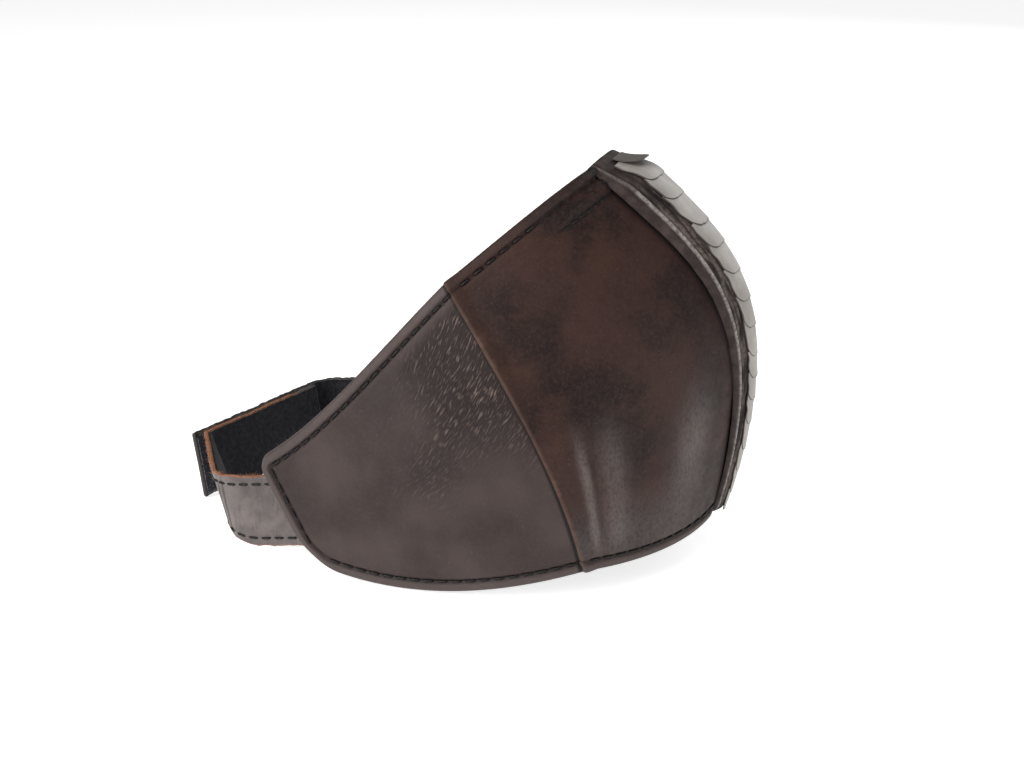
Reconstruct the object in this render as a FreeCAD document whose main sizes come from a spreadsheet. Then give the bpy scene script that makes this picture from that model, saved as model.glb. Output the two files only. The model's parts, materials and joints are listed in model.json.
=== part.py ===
"""Leather half-face mask: two cheek panels a side, a snake-skin centre strip over a padded core,
felt lining, a nose wire in a stitched pocket, and two straps that close behind the head.

Frame: +Z up, the face of the mask towards -Y, the wearer's left towards +X, origin on the table
under the middle of the mask. Millimetres.
"""
import FreeCAD, Part
import math
import os

import Sketcher
from FreeCAD import Placement, Rotation, Vector

SIZES = [
    # alias, millimetres or degrees, what it is
    ("leather_thickness", 1.6, "cheek panels and straps"),
    ("lining_thickness", 2.0, "felt behind the cheek panels"),
    ("layer_gap", 0.05, "glue line between two layers"),
    ("seam_gap", 0.3, "between two panel edges that butt under a seam"),
    ("lining_inset", 1.2, "lining edge inside the panel edge"),
    ("lining_centre", 2.3, "lining edge to the centre line, so that the two sides clear each other"),
    ("cheek_crown", 3.0, "extra fullness of the front cheek panel"),
    ("hem_width", 3.8, "panel edge to hem stitches"),
    ("pocket_width", 10.0, "panel edge to nose wire pocket stitches"),
    ("stitch_pitch", 4.2, "six stitches to the inch"),
    ("stitch_length", 3.0, "thread showing in one stitch"),
    ("thread_diameter", 0.7, "heavy bonded thread"),
    ("wire_width", 5.0, "flat aluminium nose wire"),
    ("wire_thickness", 0.9, "flat aluminium nose wire"),
    ("wire_edge", 4.6, "panel edge to the near edge of the wire"),
    ("wire_clearance", 0.2, "between the wire and the lining around it"),
    ("strip_half_chin", 5.4, "half width of the centre strip at the chin"),
    ("strip_half_nose", 15.5, "half width of the centre strip at the nose bridge"),
    ("strip_height_chin", 2.4, "strip above the panels at the chin"),
    ("strip_height_nose", 6.6, "strip above the panels at the nose bridge"),
    ("strip_skin", 1.2, "snake skin of the centre strip"),
    ("strip_foot", 0.25, "underside of the strip above the panels"),
    ("strap_width", 22.0, "strap for a 20 mm hook and loop closure"),
    ("strap_lining", 0.8, "strap lining"),
    ("tape_thickness", 0.6, "hook tape and loop tape, pressed together"),
    ("tape_inset", 1.0, "tape edge inside the strap edge"),
    ("tape_width", 20.0, "hook tape and loop tape"),
    ("strap_clearance", 0.3, "between the two straps where they overlap"),
    ("strap_tilt", 8.0, "degrees that the strap loop drops towards the back"),
    ("strap_root", 24.0, "strap sewn in under the panel's rear hem"),
    ("strap_root_spread", 0.8, "how much wider apart the roots' front ends are than their back ends"),
    ("strap_stitch_edge", 2.5, "strap edge to its stitches"),
    ("strap_lining_start", 3.0, "bending line to the strap lining"),
    ("strap_end", 0.5, "strap end past its lining and tape"),
    ("loop_length", 34.0, "loop tape on the right strap's outer face"),
    ("hook_length", 46.0, "hook tape on the left strap's inner face"),
    ("left_flap", 2.0, "left strap's end past the right strap's last bend"),
    ("hinge_clearance", 1.5, "strap root's end to the bending line"),
    ("origin_shift_y", -16.4, "middle of the whole mask brought to y = 0"),
]

# Edge curves of the left cheek, as the control points of Bezier curves, before origin_shift_y.
CENTRE_EDGE = [(0.0, -64.5, 14.5), (0.0, -72.0, 40.0), (0.0, -77.0, 88.5), (0.0, -61.5, 91.0),
               (0.0, -28.5, 118.8)]
SEAM_EDGE = [(47.3, -35.0, 9.0), (58.5, -31.0, 43.0), (53.5, -15.0, 63.0), (45.1, 6.0, 90.5)]
REAR_EDGE = [(51.6, 47.5, 3.9), (52.4, 62.6, 34.7)]
FRONT_TOP = [(0.0, -28.5, 118.8), (27.0, -28.5, 120.5), (35.0, -14.5, 108.5), (45.1, 6.0, 90.5)]
FRONT_BOTTOM = [(0.0, -64.5, 14.5), (19.0, -63.0, 9.9), (34.5, -48.5, 8.0), (47.3, -35.0, 9.0)]
REAR_TOP = [(45.1, 6.0, 90.5), (52.5, 23.5, 71.8), (58.3, 41.5, 47.5), (52.4, 62.6, 34.7)]
REAR_BOTTOM = [(47.3, -35.0, 9.0), (56.6, -9.0, 1.3), (55.0, 19.0, -3.7), (51.6, 47.5, 3.9)]
CROWN_DIRECTION = Vector(0.64, -0.77, 0.0)

# Strap paths seen square to the loop: the outer face of the leather, (x, distance back), with the
# radius of the bend at each point. The left strap lies outside the right one behind the head.
STRAP_LEVEL = (53.1, 7.7)       # y and z of the strap's lower edge where it leaves the panel
RIGHT_PATH = [(-49.9, 66.0, 0.0), (-48.4, 75.5, 15.0), (-5.0, 100.5, 4.5), (44.0, 82.4, 0.0)]
LEFT_START = [(49.9, 66.0, 0.0), (53.0, 80.0, 9.0)]

doc = FreeCAD.newDocument("half_face_mask")


# ---------------------------------------------------------------- driving dimensions
def make_sheet():
    sheet = doc.addObject("Spreadsheet::Sheet", "Sizes")
    for row, (alias, value, note) in enumerate(SIZES, start=1):
        sheet.set(f"A{row}", alias)
        sheet.set(f"B{row}", str(value))
        sheet.set(f"C{row}", note)
        sheet.setAlias(f"B{row}", alias)
    doc.recompute()
    return sheet


SHEET = make_sheet()


def size(alias):
    return float(SHEET.get(alias))


SHIFT = Vector(0, size("origin_shift_y"), 0)


# ---------------------------------------------------------------- curves and cheek surfaces
def bezier(points, t):
    degree = len(points) - 1
    total = Vector()
    for i, point in enumerate(points):
        weight = math.comb(degree, i) * t**i * (1 - t) ** (degree - i)
        total += Vector(*point) * weight
    return total


def coons(bottom, top, front, back, u, v):
    """Surface between four edge curves: u from front to back, v from bottom to top."""
    along = bezier(bottom, u) * (1 - v) + bezier(top, u) * v
    across = bezier(front, v) * (1 - u) + bezier(back, v) * u
    low = bezier(bottom, 0) * (1 - u) + bezier(bottom, 1) * u
    high = bezier(top, 0) * (1 - u) + bezier(top, 1) * u
    return along + across - low * (1 - v) - high * v


def front_cheek(u, v):
    fullness = 16 * u * (1 - u) * v * (1 - v) * size("cheek_crown")
    return coons(FRONT_BOTTOM, FRONT_TOP, CENTRE_EDGE, SEAM_EDGE, u, v) + CROWN_DIRECTION * fullness


def rear_cheek(u, v):
    return coons(REAR_BOTTOM, REAR_TOP, SEAM_EDGE, REAR_EDGE, u, v)


STEP = 1e-3


def tangents(surface, u, v):
    along_u = (surface(u + STEP, v) - surface(u - STEP, v)) / (2 * STEP)
    along_v = (surface(u, v + STEP) - surface(u, v - STEP)) / (2 * STEP)
    return along_u, along_v


def lifted(surface, u, v, height):
    """The point at a height outside the surface of the left cheek."""
    along_u, along_v = tangents(surface, u, v)
    return surface(u, v) + along_u.cross(along_v).normalize() * height


def on_side(point, side):
    """A left-cheek point placed on the left (side 1) or mirrored to the right (side -1)."""
    return Vector(side * point.x, point.y, point.z) + SHIFT


# ---------------------------------------------------------------- solids from point grids
def spline_surface(grid):
    surface = Part.BSplineSurface()
    surface.interpolate(grid)
    return surface


def solid_between(outer_grid, inner_grid):
    """A closed solid between two grids of points that have the same rows and columns."""
    outer = spline_surface(outer_grid)
    inner = spline_surface(inner_grid)
    faces = [outer.toShape(), inner.toShape()]
    u0, u1, v0, v1 = outer.bounds()
    p0, p1, q0, q1 = inner.bounds()
    borders = [(outer.uIso(u0), inner.uIso(p0)), (outer.uIso(u1), inner.uIso(p1)),
               (outer.vIso(v0), inner.vIso(q0)), (outer.vIso(v1), inner.vIso(q1))]
    for outer_curve, inner_curve in borders:
        faces.append(Part.makeRuledSurface(outer_curve.toShape(), inner_curve.toShape()))
    shell = Part.makeShell(faces)
    shell.sewShape()
    solid = Part.makeSolid(shell)
    if solid.Volume < 0:
        solid.reverse()
    return solid


def spread(first, last, count):
    return [first + (last - first) * i / (count - 1) for i in range(count)]


def cheek_layer(surface, side, u_range, v_range, outer, inner, columns=9, rows=11):
    """Layer of the cheek between two heights over part of a panel."""
    def grid(height):
        return [[on_side(lifted(surface, u, v, height), side)
                 for v in spread(*v_range, rows)] for u in spread(*u_range, columns)]
    return solid_between(grid(outer), grid(inner))


# ---------------------------------------------------------------- document objects
NODES = []


def keep(label, obj):
    obj.Label = label
    NODES.append(obj)
    return obj


def feature(label, shape):
    obj = doc.addObject("Part::Feature", label)
    obj.Shape = shape
    obj.Placement = Placement()
    return keep(label, obj)


# ---------------------------------------------------------------- cheek panels and lining
def share_of(surface, length, direction, u, v):
    """How much of u (0) or v (1) spans a length on the surface at (u, v)."""
    return length / tangents(surface, u, v)[direction].Length


def make_panels(side, name):
    leather = size("leather_thickness")
    half_gap = size("seam_gap") / 2
    front_u = (share_of(front_cheek, half_gap * 2, 0, 0, 0.5),
               1 - share_of(front_cheek, half_gap, 0, 1, 0.5))
    rear_u = (share_of(rear_cheek, half_gap, 0, 0, 0.5), 1)
    feature(f"{name}_front_panel", cheek_layer(front_cheek, side, front_u, (0, 1), 0, -leather))
    feature(f"{name}_rear_panel", cheek_layer(rear_cheek, side, rear_u, (0, 1), 0, -leather))


def inset(surface, u_middle, v_middle, length):
    """u and v ranges whose edges lie a length inside the panel's own edges."""
    return ((share_of(surface, length, 0, 0, v_middle), 1 - share_of(surface, length, 0, 1, v_middle)),
            (share_of(surface, length, 1, u_middle, 0), 1 - share_of(surface, length, 1, u_middle, 1)))


def make_linings(side, name):
    outer = -size("leather_thickness") - size("layer_gap")
    inner = outer - size("lining_thickness")
    edge = size("lining_inset")
    front_u, front_v = inset(front_cheek, 0.5, 0.5, edge)
    rear_u, rear_v = inset(rear_cheek, 0.5, 0.5, edge)
    front_u = (share_of(front_cheek, size("lining_centre"), 0, 0, 0.5), front_u[1])
    rear_u = (rear_u[0], rear_u[1] - share_of(rear_cheek, size("strap_root"), 0, 1, 0.5))
    front = cheek_layer(front_cheek, side, front_u, front_v, outer, inner)
    rear = cheek_layer(rear_cheek, side, rear_u, rear_v, outer, inner)
    feature(f"{name}_front_lining", front.cut(WIRE_ROOM))
    feature(f"{name}_rear_lining", rear)


# ---------------------------------------------------------------- nose wire
WIRE_REACH = 0.55               # how far round the front panel's top edge the wire runs, in u
WIRE_MIDDLE = 0.05              # the wire rounds over the centre line between these values of u


def wire_layer(outer, inner, margin):
    """The wire follows both front panels across the nose bridge."""
    columns = [(-1, u) for u in spread(WIRE_REACH, WIRE_MIDDLE, 7)]
    columns += [(1, u) for u in spread(WIRE_MIDDLE, WIRE_REACH, 7)]

    def grid(height):
        rows = []
        for side, u in columns:
            reach = u + (share_of(front_cheek, margin, 0, u, 1) if u == WIRE_REACH else 0)
            near = 1 - share_of(front_cheek, size("wire_edge") - margin, 1, reach, 1)
            far = near - share_of(front_cheek, size("wire_width") + 2 * margin, 1, reach, 1)
            rows.append([on_side(lifted(front_cheek, reach, v, height), side)
                         for v in spread(far, near, 4)])
        return rows
    return solid_between(grid(outer), grid(inner))


def make_nose_wire():
    clearance = size("wire_clearance")
    outer = -size("leather_thickness") - clearance
    inner = outer - size("wire_thickness")
    feature("nose_wire", wire_layer(outer, inner, 0.0))
    return wire_layer(outer + clearance, inner - clearance, clearance)


# ---------------------------------------------------------------- centre strip
def strip_frame(t):
    """Point on the mask's centre line, chin 0 to nose 1, and the outward direction there."""
    point = bezier(CENTRE_EDGE, t)
    ahead = bezier(CENTRE_EDGE, t + STEP) - bezier(CENTRE_EDGE, t - STEP)
    outward = Vector(1, 0, 0).cross(ahead).normalize()
    return point, -outward if outward.y > 0 else outward


def between(chin, nose, t):
    return chin + (nose - chin) * t


def panel_level(t, x):
    """How far outward of the centre line the left cheek lies, a distance x to the side of it."""
    point, outward = strip_frame(t)
    ahead = outward.cross(Vector(1, 0, 0))
    u, v = x / tangents(front_cheek, 0, t)[0].x, t
    for _ in range(PANEL_SEARCH_STEPS):
        here = front_cheek(u, v)
        along_u, along_v = tangents(front_cheek, u, v)
        off_x, off_ahead = x - here.x, (point - here).dot(ahead)
        turn = along_u.x * along_v.dot(ahead) - along_v.x * along_u.dot(ahead)
        u += (off_x * along_v.dot(ahead) - along_v.x * off_ahead) / turn
        v += (along_u.x * off_ahead - along_u.dot(ahead) * off_x) / turn
    return (front_cheek(u, v) - point).dot(outward)


STRIP_ENDS = (0.0, 1.01)        # along the centre line, chin to nose
NOSE_ROUNDING = 0.86            # where the strip starts to roll down to its upper end
NOSE_FALL = 0.72                # share of its height that it loses there
SECTION_POWER = 4               # 2 is an ellipse, more is a rounder-cornered rectangle
PANEL_SEARCH_STEPS = 5
STRIP_RINGS = 15
RING_POINTS = 17
CORE_ANGLE = math.radians(14)   # where the core's side walls start on the section


def end_factor(t):
    """The strip keeps its full height up to the nose, then rolls down."""
    past = max(0.0, (t - NOSE_ROUNDING) / (STRIP_ENDS[1] - NOSE_ROUNDING))
    return 1 - NOSE_FALL * past**2


def strip_grid(inset_by, first_angle=0.0, flat=False):
    """Rounded-rectangle section swept up the centre line, from the left foot over to the right one.

    It stands on the panels. A flat grid is the section's floor, under the same points.
    """
    foot = size("strip_foot")
    rows = []
    for t in spread(*STRIP_ENDS, STRIP_RINGS):
        point, outward = strip_frame(t)
        half = between(size("strip_half_chin"), size("strip_half_nose"), t) - inset_by
        rise = between(size("strip_height_chin"), size("strip_height_nose"), t) * end_factor(t)
        row = []
        for angle in spread(first_angle, math.pi - first_angle, RING_POINTS):
            across, up = math.cos(angle), math.sin(angle)
            corner = (across**SECTION_POWER + up**SECTION_POWER) ** (1 / SECTION_POWER)
            x = half * across / corner
            level = foot if flat else foot + (rise - inset_by - foot) * up / corner
            level += panel_level(t, abs(x))
            row.append(point + Vector(x, 0, 0) + outward * level + SHIFT)
        rows.append(row)
    return rows


def make_strip():
    skin = size("strip_skin")
    core = skin + size("layer_gap")
    feature("centre_strip_skin", solid_between(strip_grid(0.0), strip_grid(skin)))
    feature("strip_core", solid_between(strip_grid(core, CORE_ANGLE),
                                        strip_grid(core, CORE_ANGLE, flat=True)))


# ---------------------------------------------------------------- stitches
def stitch(start, end):
    """One stitch: a short straight length of thread."""
    radius = size("thread_diameter") / 2
    along = end - start
    return Part.makeCylinder(radius, along.Length, start, along)


ROUTE_STEPS = 200
THREAD_PROUD = 0.1              # height of a stitch's centre above the leather, in thread diameters


def stitch_row(route):
    """Stitches at the pitch along a route, a function of 0 to 1 that gives points."""
    points = [route(i / ROUTE_STEPS) for i in range(ROUTE_STEPS + 1)]
    reach = [0.0]
    for before, after in zip(points, points[1:]):
        reach.append(reach[-1] + (after - before).Length)
    count = int(reach[-1] / size("stitch_pitch"))
    pitch = reach[-1] / count

    def at(distance):
        for i in range(1, len(reach)):
            if reach[i] >= distance or i == len(reach) - 1:
                part = (distance - reach[i - 1]) / (reach[i] - reach[i - 1])
                return points[i - 1] + (points[i] - points[i - 1]) * part
    middles = [(i + 0.5) * pitch for i in range(count)]
    half = size("stitch_length") / 2
    return [stitch(at(middle - half), at(middle + half)) for middle in middles]


EDGE_STARTS = {"top": (1, 1), "bottom": (1, 0), "rear": (0, 1)}   # crossing direction and its value


def hem_uv(surface, along, edge, offset, steps=4):
    """u and v at an offset square to one edge of a panel, walked in over the surface."""
    crossing, start = EDGE_STARTS[edge]
    place = [along, start] if crossing else [start, along]
    inward = -1 if start == 1 else 1
    for _ in range(steps):
        both = tangents(surface, *place)
        across, edge_line = both[crossing], both[1 - crossing]
        slant = across.dot(edge_line) / edge_line.dot(edge_line)
        share = inward * offset / steps / (across - edge_line * slant).Length
        place[crossing] += share
        place[1 - crossing] -= share * slant
    return place


def hem_point(surface, side, along, edge, offset):
    """A point at an offset inside one edge of a panel: edge is top, bottom or rear."""
    u, v = hem_uv(surface, along, edge, offset)
    return on_side(lifted(surface, u, v, size("thread_diameter") * THREAD_PROUD), side)


# Where rows of stitches run, as shares of the panel's edge.
POCKET_START = 0.62             # the pocket stitches leave the top hem
POCKET_TURN = 0.55              # and reach the pocket's full width
POCKET_END = 0.26               # and stop at the centre strip
FRONT_ROWS = [("top", POCKET_START, 0.98), ("bottom", 0.1, 0.98)]
REAR_ROWS = [("top", 0.02, 0.94), ("bottom", 0.02, 0.93), ("rear", 0.12, 0.88)]


def make_hem_stitches(side, name):
    hem, pocket_width = size("hem_width"), size("pocket_width")

    def row(surface, edge, first, last, offset=hem, last_offset=hem):
        """A row from first to last along an edge, at an offset that may change on the way."""
        def route(part):
            reach = offset + (last_offset - offset) * part
            return hem_point(surface, side, first + (last - first) * part, edge, reach)
        return stitch_row(route)

    front = [one for ends in FRONT_ROWS for one in row(front_cheek, *ends)]
    rear = [one for ends in REAR_ROWS for one in row(rear_cheek, *ends)]
    pocket = row(front_cheek, "top", POCKET_START, POCKET_TURN, hem, pocket_width)
    pocket += row(front_cheek, "top", POCKET_TURN, POCKET_END, pocket_width, pocket_width)
    feature(f"{name}_front_hem_stitches", Part.makeCompound(front))
    feature(f"{name}_rear_hem_stitches", Part.makeCompound(rear))
    feature(f"{name}_wire_pocket_stitches", Part.makeCompound(pocket))


# ---------------------------------------------------------------- straps
TILT = math.radians(size("strap_tilt"))


def loop_placement(offset=0.0):
    """The strap loop's own plane, which drops towards the back; its local y runs back."""
    level_y, level_z = STRAP_LEVEL
    up = Vector(0, math.sin(TILT), math.cos(TILT))
    back = Vector(0, math.cos(TILT), -math.sin(TILT))
    base = Vector(0, level_y, level_z) - back * (level_y * math.cos(TILT)) + up * offset
    return Placement(base + SHIFT, Rotation(Vector(1, 0, 0), -size("strap_tilt")))


def path_pieces(path, inward, depth):
    """Lines and arcs of a path moved a depth to its inner side; inward is 1 for right, -1 for left."""
    points = [Vector(x, y, 0) for x, y, _ in path]
    radii = [radius for _, _, radius in path]

    def normal(a, b):
        d = (b - a).normalize()
        return Vector(d.y, -d.x, 0) * inward

    pieces = []
    start = points[0] + normal(points[0], points[1]) * depth
    for i in range(1, len(points) - 1):
        before = (points[i] - points[i - 1]).normalize()
        after = (points[i + 1] - points[i]).normalize()
        turn = before.getAngle(after)
        reach = radii[i] * math.tan(turn / 2)
        leave = points[i] - before * reach
        join = points[i] + after * reach
        bend_in = before.cross(after).z * inward < 0
        n0, n1 = normal(points[i - 1], points[i]), normal(points[i], points[i + 1])
        centre = leave + (n0 if bend_in else -n0) * radii[i]
        radius = radii[i] - depth if bend_in else radii[i] + depth
        p0, p1 = leave + n0 * depth, join + n1 * depth
        middle = centre + ((p0 - centre) + (p1 - centre)).normalize() * radius
        pieces.append(("line", start, p0))
        pieces.append(("arc", p0, middle, p1))
        start = p1
    pieces.append(("line", start, points[-1] + normal(points[-2], points[-1]) * depth))
    return pieces


def add_piece(sketch, piece):
    if piece[0] == "line":
        return sketch.addGeometry(Part.LineSegment(piece[1], piece[-1]), False)
    return sketch.addGeometry(Part.Arc(piece[1], piece[2], piece[3]), False)


def band_body(label, path, inward, outer, inner, width, rise, thickness_alias, round_start=False):
    """A band of constant thickness along a path, standing on the loop's plane."""
    body = doc.addObject("PartDesign::Body", label)
    body.Placement = loop_placement()
    sketch = body.newObject("Sketcher::SketchObject", label + "_outline")
    plane = [f for f in body.Origin.OriginFeatures if f.Role == "XY_Plane"][0]
    sketch.AttachmentSupport = (plane, "")
    sketch.MapMode = "FlatFace"
    outside = path_pieces(path, inward, outer)
    inside = path_pieces(path, inward, inner)
    for piece in outside:
        add_piece(sketch, piece)
    end = add_piece(sketch, ("line", outside[-1][-1], inside[-1][-1]))
    for piece in reversed(inside):
        add_piece(sketch, piece)
    first, last = outside[0][1], inside[0][1]
    if round_start:
        back = (outside[0][-1] - first).normalize()
        nose = (first + last) * 0.5 - back * ((first - last).Length / 2)
        add_piece(sketch, ("arc", last, nose, first))
    else:
        add_piece(sketch, ("line", last, first))
    gauge = sketch.addConstraint(Sketcher.Constraint("Distance", end, inner - outer))
    sketch.renameConstraint(gauge, "thickness")
    sketch.setExpression("Constraints.thickness", f"Sizes.{thickness_alias}")
    sketch.setExpression(".AttachmentOffset.Base.z", rise)
    pad = body.newObject("PartDesign::Pad", label + "_pad")
    pad.Profile = sketch
    pad.setExpression("Length", f"Sizes.{width}")
    return keep(label, body)


def cut_path(path, first, last):
    """The part of a path between two distances along it, keeping the bends inside it."""
    points = [Vector(x, y, 0) for x, y, _ in path]
    lengths = [(b - a).Length for a, b in zip(points, points[1:])]

    def at(distance):
        for i, length in enumerate(lengths):
            if distance <= length or i == len(lengths) - 1:
                point = points[i] + (points[i + 1] - points[i]) * (distance / length)
                return i, point
            distance -= length
    i0, start = at(first)
    i1, end = at(last)
    middle = path[i0 + 1:i1 + 1]
    return [(start.x, start.y, 0.0), *middle, (end.x, end.y, 0.0)]


def path_length(path):
    points = [Vector(x, y, 0) for x, y, _ in path]
    return sum((b - a).Length for a, b in zip(points, points[1:]))


def point_along(pieces, part):
    """A point at a share of the length of lines and arcs."""
    edges = []
    for piece in pieces:
        if piece[0] == "line":
            edges.append(Part.LineSegment(piece[1], piece[-1]).toShape())
        else:
            edges.append(Part.Arc(piece[1], piece[2], piece[3]).toShape())
    distance = part * sum(edge.Length for edge in edges)
    for edge in edges:
        if distance <= edge.Length or edge is edges[-1]:
            share = edge.getParameterByLength(min(distance, edge.Length))
            return edge.valueAt(share)
        distance -= edge.Length


def left_path():
    """The left strap runs parallel to the right strap's last run, one stack of layers outside it."""
    start, end = Vector(*RIGHT_PATH[-2][:2], 0), Vector(*RIGHT_PATH[-1][:2], 0)
    along = (end - start).normalize()
    outward = Vector(-along.y, along.x, 0)
    stack = size("leather_thickness") + 2 * size("tape_thickness") + 2 * size("layer_gap")
    tip = start + outward * (stack + size("strap_clearance")) - along * size("left_flap")
    hinge, corner = (Vector(x, y, 0) for x, y, _ in LEFT_START)
    rise = (corner - hinge).normalize()
    # where the first run from the hinge meets the line through the tip
    reach = (tip - hinge).cross(along).z / rise.cross(along).z
    meet = hinge + rise * reach
    return [LEFT_START[0], (meet.x, meet.y, LEFT_START[1][2]), (tip.x, tip.y, 0.0)]


def make_strap(name, inward, path, tape, tape_outside, tape_length):
    """Root sewn under the panel, leather, lining and the tape of the closure at the free end."""
    leather = size("leather_thickness")
    gap = size("layer_gap")
    thick = size("tape_thickness")
    hinge_x, hinge_y, _ = path[0]
    root_end = hinge_y - size("hinge_clearance")
    root_path = [(hinge_x - inward * size("strap_root_spread"), root_end - size("strap_root"), 0.0),
                 (hinge_x, root_end, 0.0)]
    leather_band = ("strap_width", "0", "leather_thickness")
    band_body(f"{name}_strap_root", root_path, inward, 0, leather, *leather_band)
    band_body(f"{name}_strap_leather", path, inward, 0, leather, *leather_band, round_start=True)
    lining_end = path_length(path) - size("strap_end")
    tape_path = cut_path(path, lining_end - tape_length, lining_end)
    if tape_outside:
        layers = (-gap - thick, -gap)
    else:
        layers = (leather + gap, leather + gap + thick)
        lining_end -= tape_length + size("strap_end")
    lining_path = cut_path(path, size("strap_lining_start"), lining_end)
    band_body(f"{name}_strap_lining", lining_path, inward, leather + gap,
              leather + gap + size("strap_lining"), "strap_width", "0", "strap_lining")
    band_body(f"{name}_strap_{tape}", tape_path, inward, *layers, "tape_width",
              "Sizes.tape_inset", "tape_thickness")


STITCHED_PART = (0.03, 0.98)    # stretch of each strap that has stitches, as shares of its length


def make_strap_stitches(name, inward, path):
    placement = loop_placement()
    height = -size("thread_diameter") * THREAD_PROUD
    pieces = path_pieces(path, inward, height)
    solids = []
    for level in (size("strap_stitch_edge"), size("strap_width") - size("strap_stitch_edge")):
        def route(part):
            point = point_along(pieces, between(*STITCHED_PART, part))
            return placement.multVec(Vector(point.x, point.y, level))
        solids += stitch_row(route)
    feature(f"{name}_strap_stitches", Part.makeCompound(solids))


WIRE_ROOM = make_nose_wire()
for SIDE, SIDE_NAME in ((1, "left"), (-1, "right")):
    make_panels(SIDE, SIDE_NAME)
    make_linings(SIDE, SIDE_NAME)
    make_hem_stitches(SIDE, SIDE_NAME)
make_strip()
LEFT_PATH = left_path()
make_strap("right", 1, RIGHT_PATH, "loop_tape", True, size("loop_length"))
make_strap("left", -1, LEFT_PATH, "hook_tape", False, size("hook_length"))
make_strap_stitches("right", 1, RIGHT_PATH)
make_strap_stitches("left", -1, LEFT_PATH)
doc.recompute()


# ---------------------------------------------------------------- checks and files
def check(obj):
    if {"Invalid", "Error"} & set(obj.State):
        raise SystemExit(f"{obj.Label} failed: {obj.State}")


for OBJ in doc.Objects:
    check(OBJ)
os.makedirs("parts", exist_ok=True)
WHOLE = FreeCAD.BoundBox()
for NODE in NODES:
    SHAPE = NODE.Shape
    if SHAPE.isNull() or not SHAPE.isValid() or SHAPE.Volume <= 0:
        raise SystemExit(f"{NODE.Label} has no valid solid")
    SHAPE.exportStep(f"parts/{NODE.Label}.step")
    WHOLE.add(SHAPE.BoundBox)
    print(f"{NODE.Label:32s} {SHAPE.Volume:10.1f} mm3  solids {len(SHAPE.Solids)}")
print("whole", WHOLE)
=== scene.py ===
"""Looks of the leather half-face mask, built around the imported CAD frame.

Lengths below are millimetres, as in the design, and become metres where a mesh is made. The mask
faces -Y, +X is the wearer's left, +Z is up. Each cheek is a curved surface between four edge curves,
with u running from front to back and v from bottom to top.
"""
import json
import math

import bpy
import numpy as np
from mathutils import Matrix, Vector


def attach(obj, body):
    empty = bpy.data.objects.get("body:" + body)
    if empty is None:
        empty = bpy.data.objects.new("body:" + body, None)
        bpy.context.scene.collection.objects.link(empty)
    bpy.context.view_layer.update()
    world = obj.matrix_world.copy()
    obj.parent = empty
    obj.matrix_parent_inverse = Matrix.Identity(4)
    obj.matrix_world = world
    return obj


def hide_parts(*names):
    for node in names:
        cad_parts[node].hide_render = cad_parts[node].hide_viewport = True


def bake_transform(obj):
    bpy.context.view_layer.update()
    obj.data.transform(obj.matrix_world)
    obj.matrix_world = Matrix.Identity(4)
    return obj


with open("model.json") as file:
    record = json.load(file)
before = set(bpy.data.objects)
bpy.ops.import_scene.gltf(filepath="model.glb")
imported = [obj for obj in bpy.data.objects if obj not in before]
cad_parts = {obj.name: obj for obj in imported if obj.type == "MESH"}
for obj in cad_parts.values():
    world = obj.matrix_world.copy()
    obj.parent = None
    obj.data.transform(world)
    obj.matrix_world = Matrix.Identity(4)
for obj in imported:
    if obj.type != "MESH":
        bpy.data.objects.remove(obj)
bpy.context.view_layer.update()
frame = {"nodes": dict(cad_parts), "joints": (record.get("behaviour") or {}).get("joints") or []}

MM = 0.001
NODES = frame["nodes"]
JOINTS = {joint["name"]: joint for joint in frame["joints"]}
SIDES = {"left": 1, "right": -1}

# ------------------------------------------------------------------ design sizes, millimetres
ORIGIN_SHIFT = np.array([0.0, -16.4, 0.0])
CENTRE_EDGE = [(0.0, -64.5, 14.5), (0.0, -72.0, 40.0), (0.0, -77.0, 88.5), (0.0, -61.5, 91.0),
               (0.0, -28.5, 118.8)]
SEAM_EDGE = [(47.3, -35.0, 9.0), (58.5, -31.0, 43.0), (53.5, -15.0, 63.0), (45.1, 6.0, 90.5)]
REAR_EDGE = [(51.6, 47.5, 3.9), (52.4, 62.6, 34.7)]
FRONT_TOP = [(0.0, -28.5, 118.8), (27.0, -28.5, 120.5), (35.0, -14.5, 108.5), (45.1, 6.0, 90.5)]
FRONT_BOTTOM = [(0.0, -64.5, 14.5), (19.0, -63.0, 9.9), (34.5, -48.5, 8.0), (47.3, -35.0, 9.0)]
REAR_TOP = [(45.1, 6.0, 90.5), (52.5, 23.5, 71.8), (58.3, 41.5, 47.5), (52.4, 62.6, 34.7)]
REAR_BOTTOM = [(47.3, -35.0, 9.0), (56.6, -9.0, 1.3), (55.0, 19.0, -3.7), (51.6, 47.5, 3.9)]
CROWN_DIRECTION = np.array([0.64, -0.77, 0.0])
CHEEK_CROWN = 3.0

LEATHER = 1.6
FELT = 2.0
HEM = 3.8                       # panel edge to hem stitches
POCKET = 10.0                   # panel edge to nose wire pocket stitches
STITCH_PITCH = 4.2
STITCH_LENGTH = 3.1
THREAD = 0.75
POCKET_START, POCKET_TURN, POCKET_END = 0.62, 0.55, 0.26   # its row, as shares of the top edge
FRONT_SIZE = (62.0, 112.0)      # a front panel's length along u and v
REAR_SIZE = (82.0, 62.0)

STRIP_HALF = (5.4, 15.5)        # half width of the centre strip, chin and nose
STRIP_RISE = (2.4, 6.6)         # its height above the panels
STRIP_END = 1.005               # its upper end, past the mask's top edge

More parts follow.
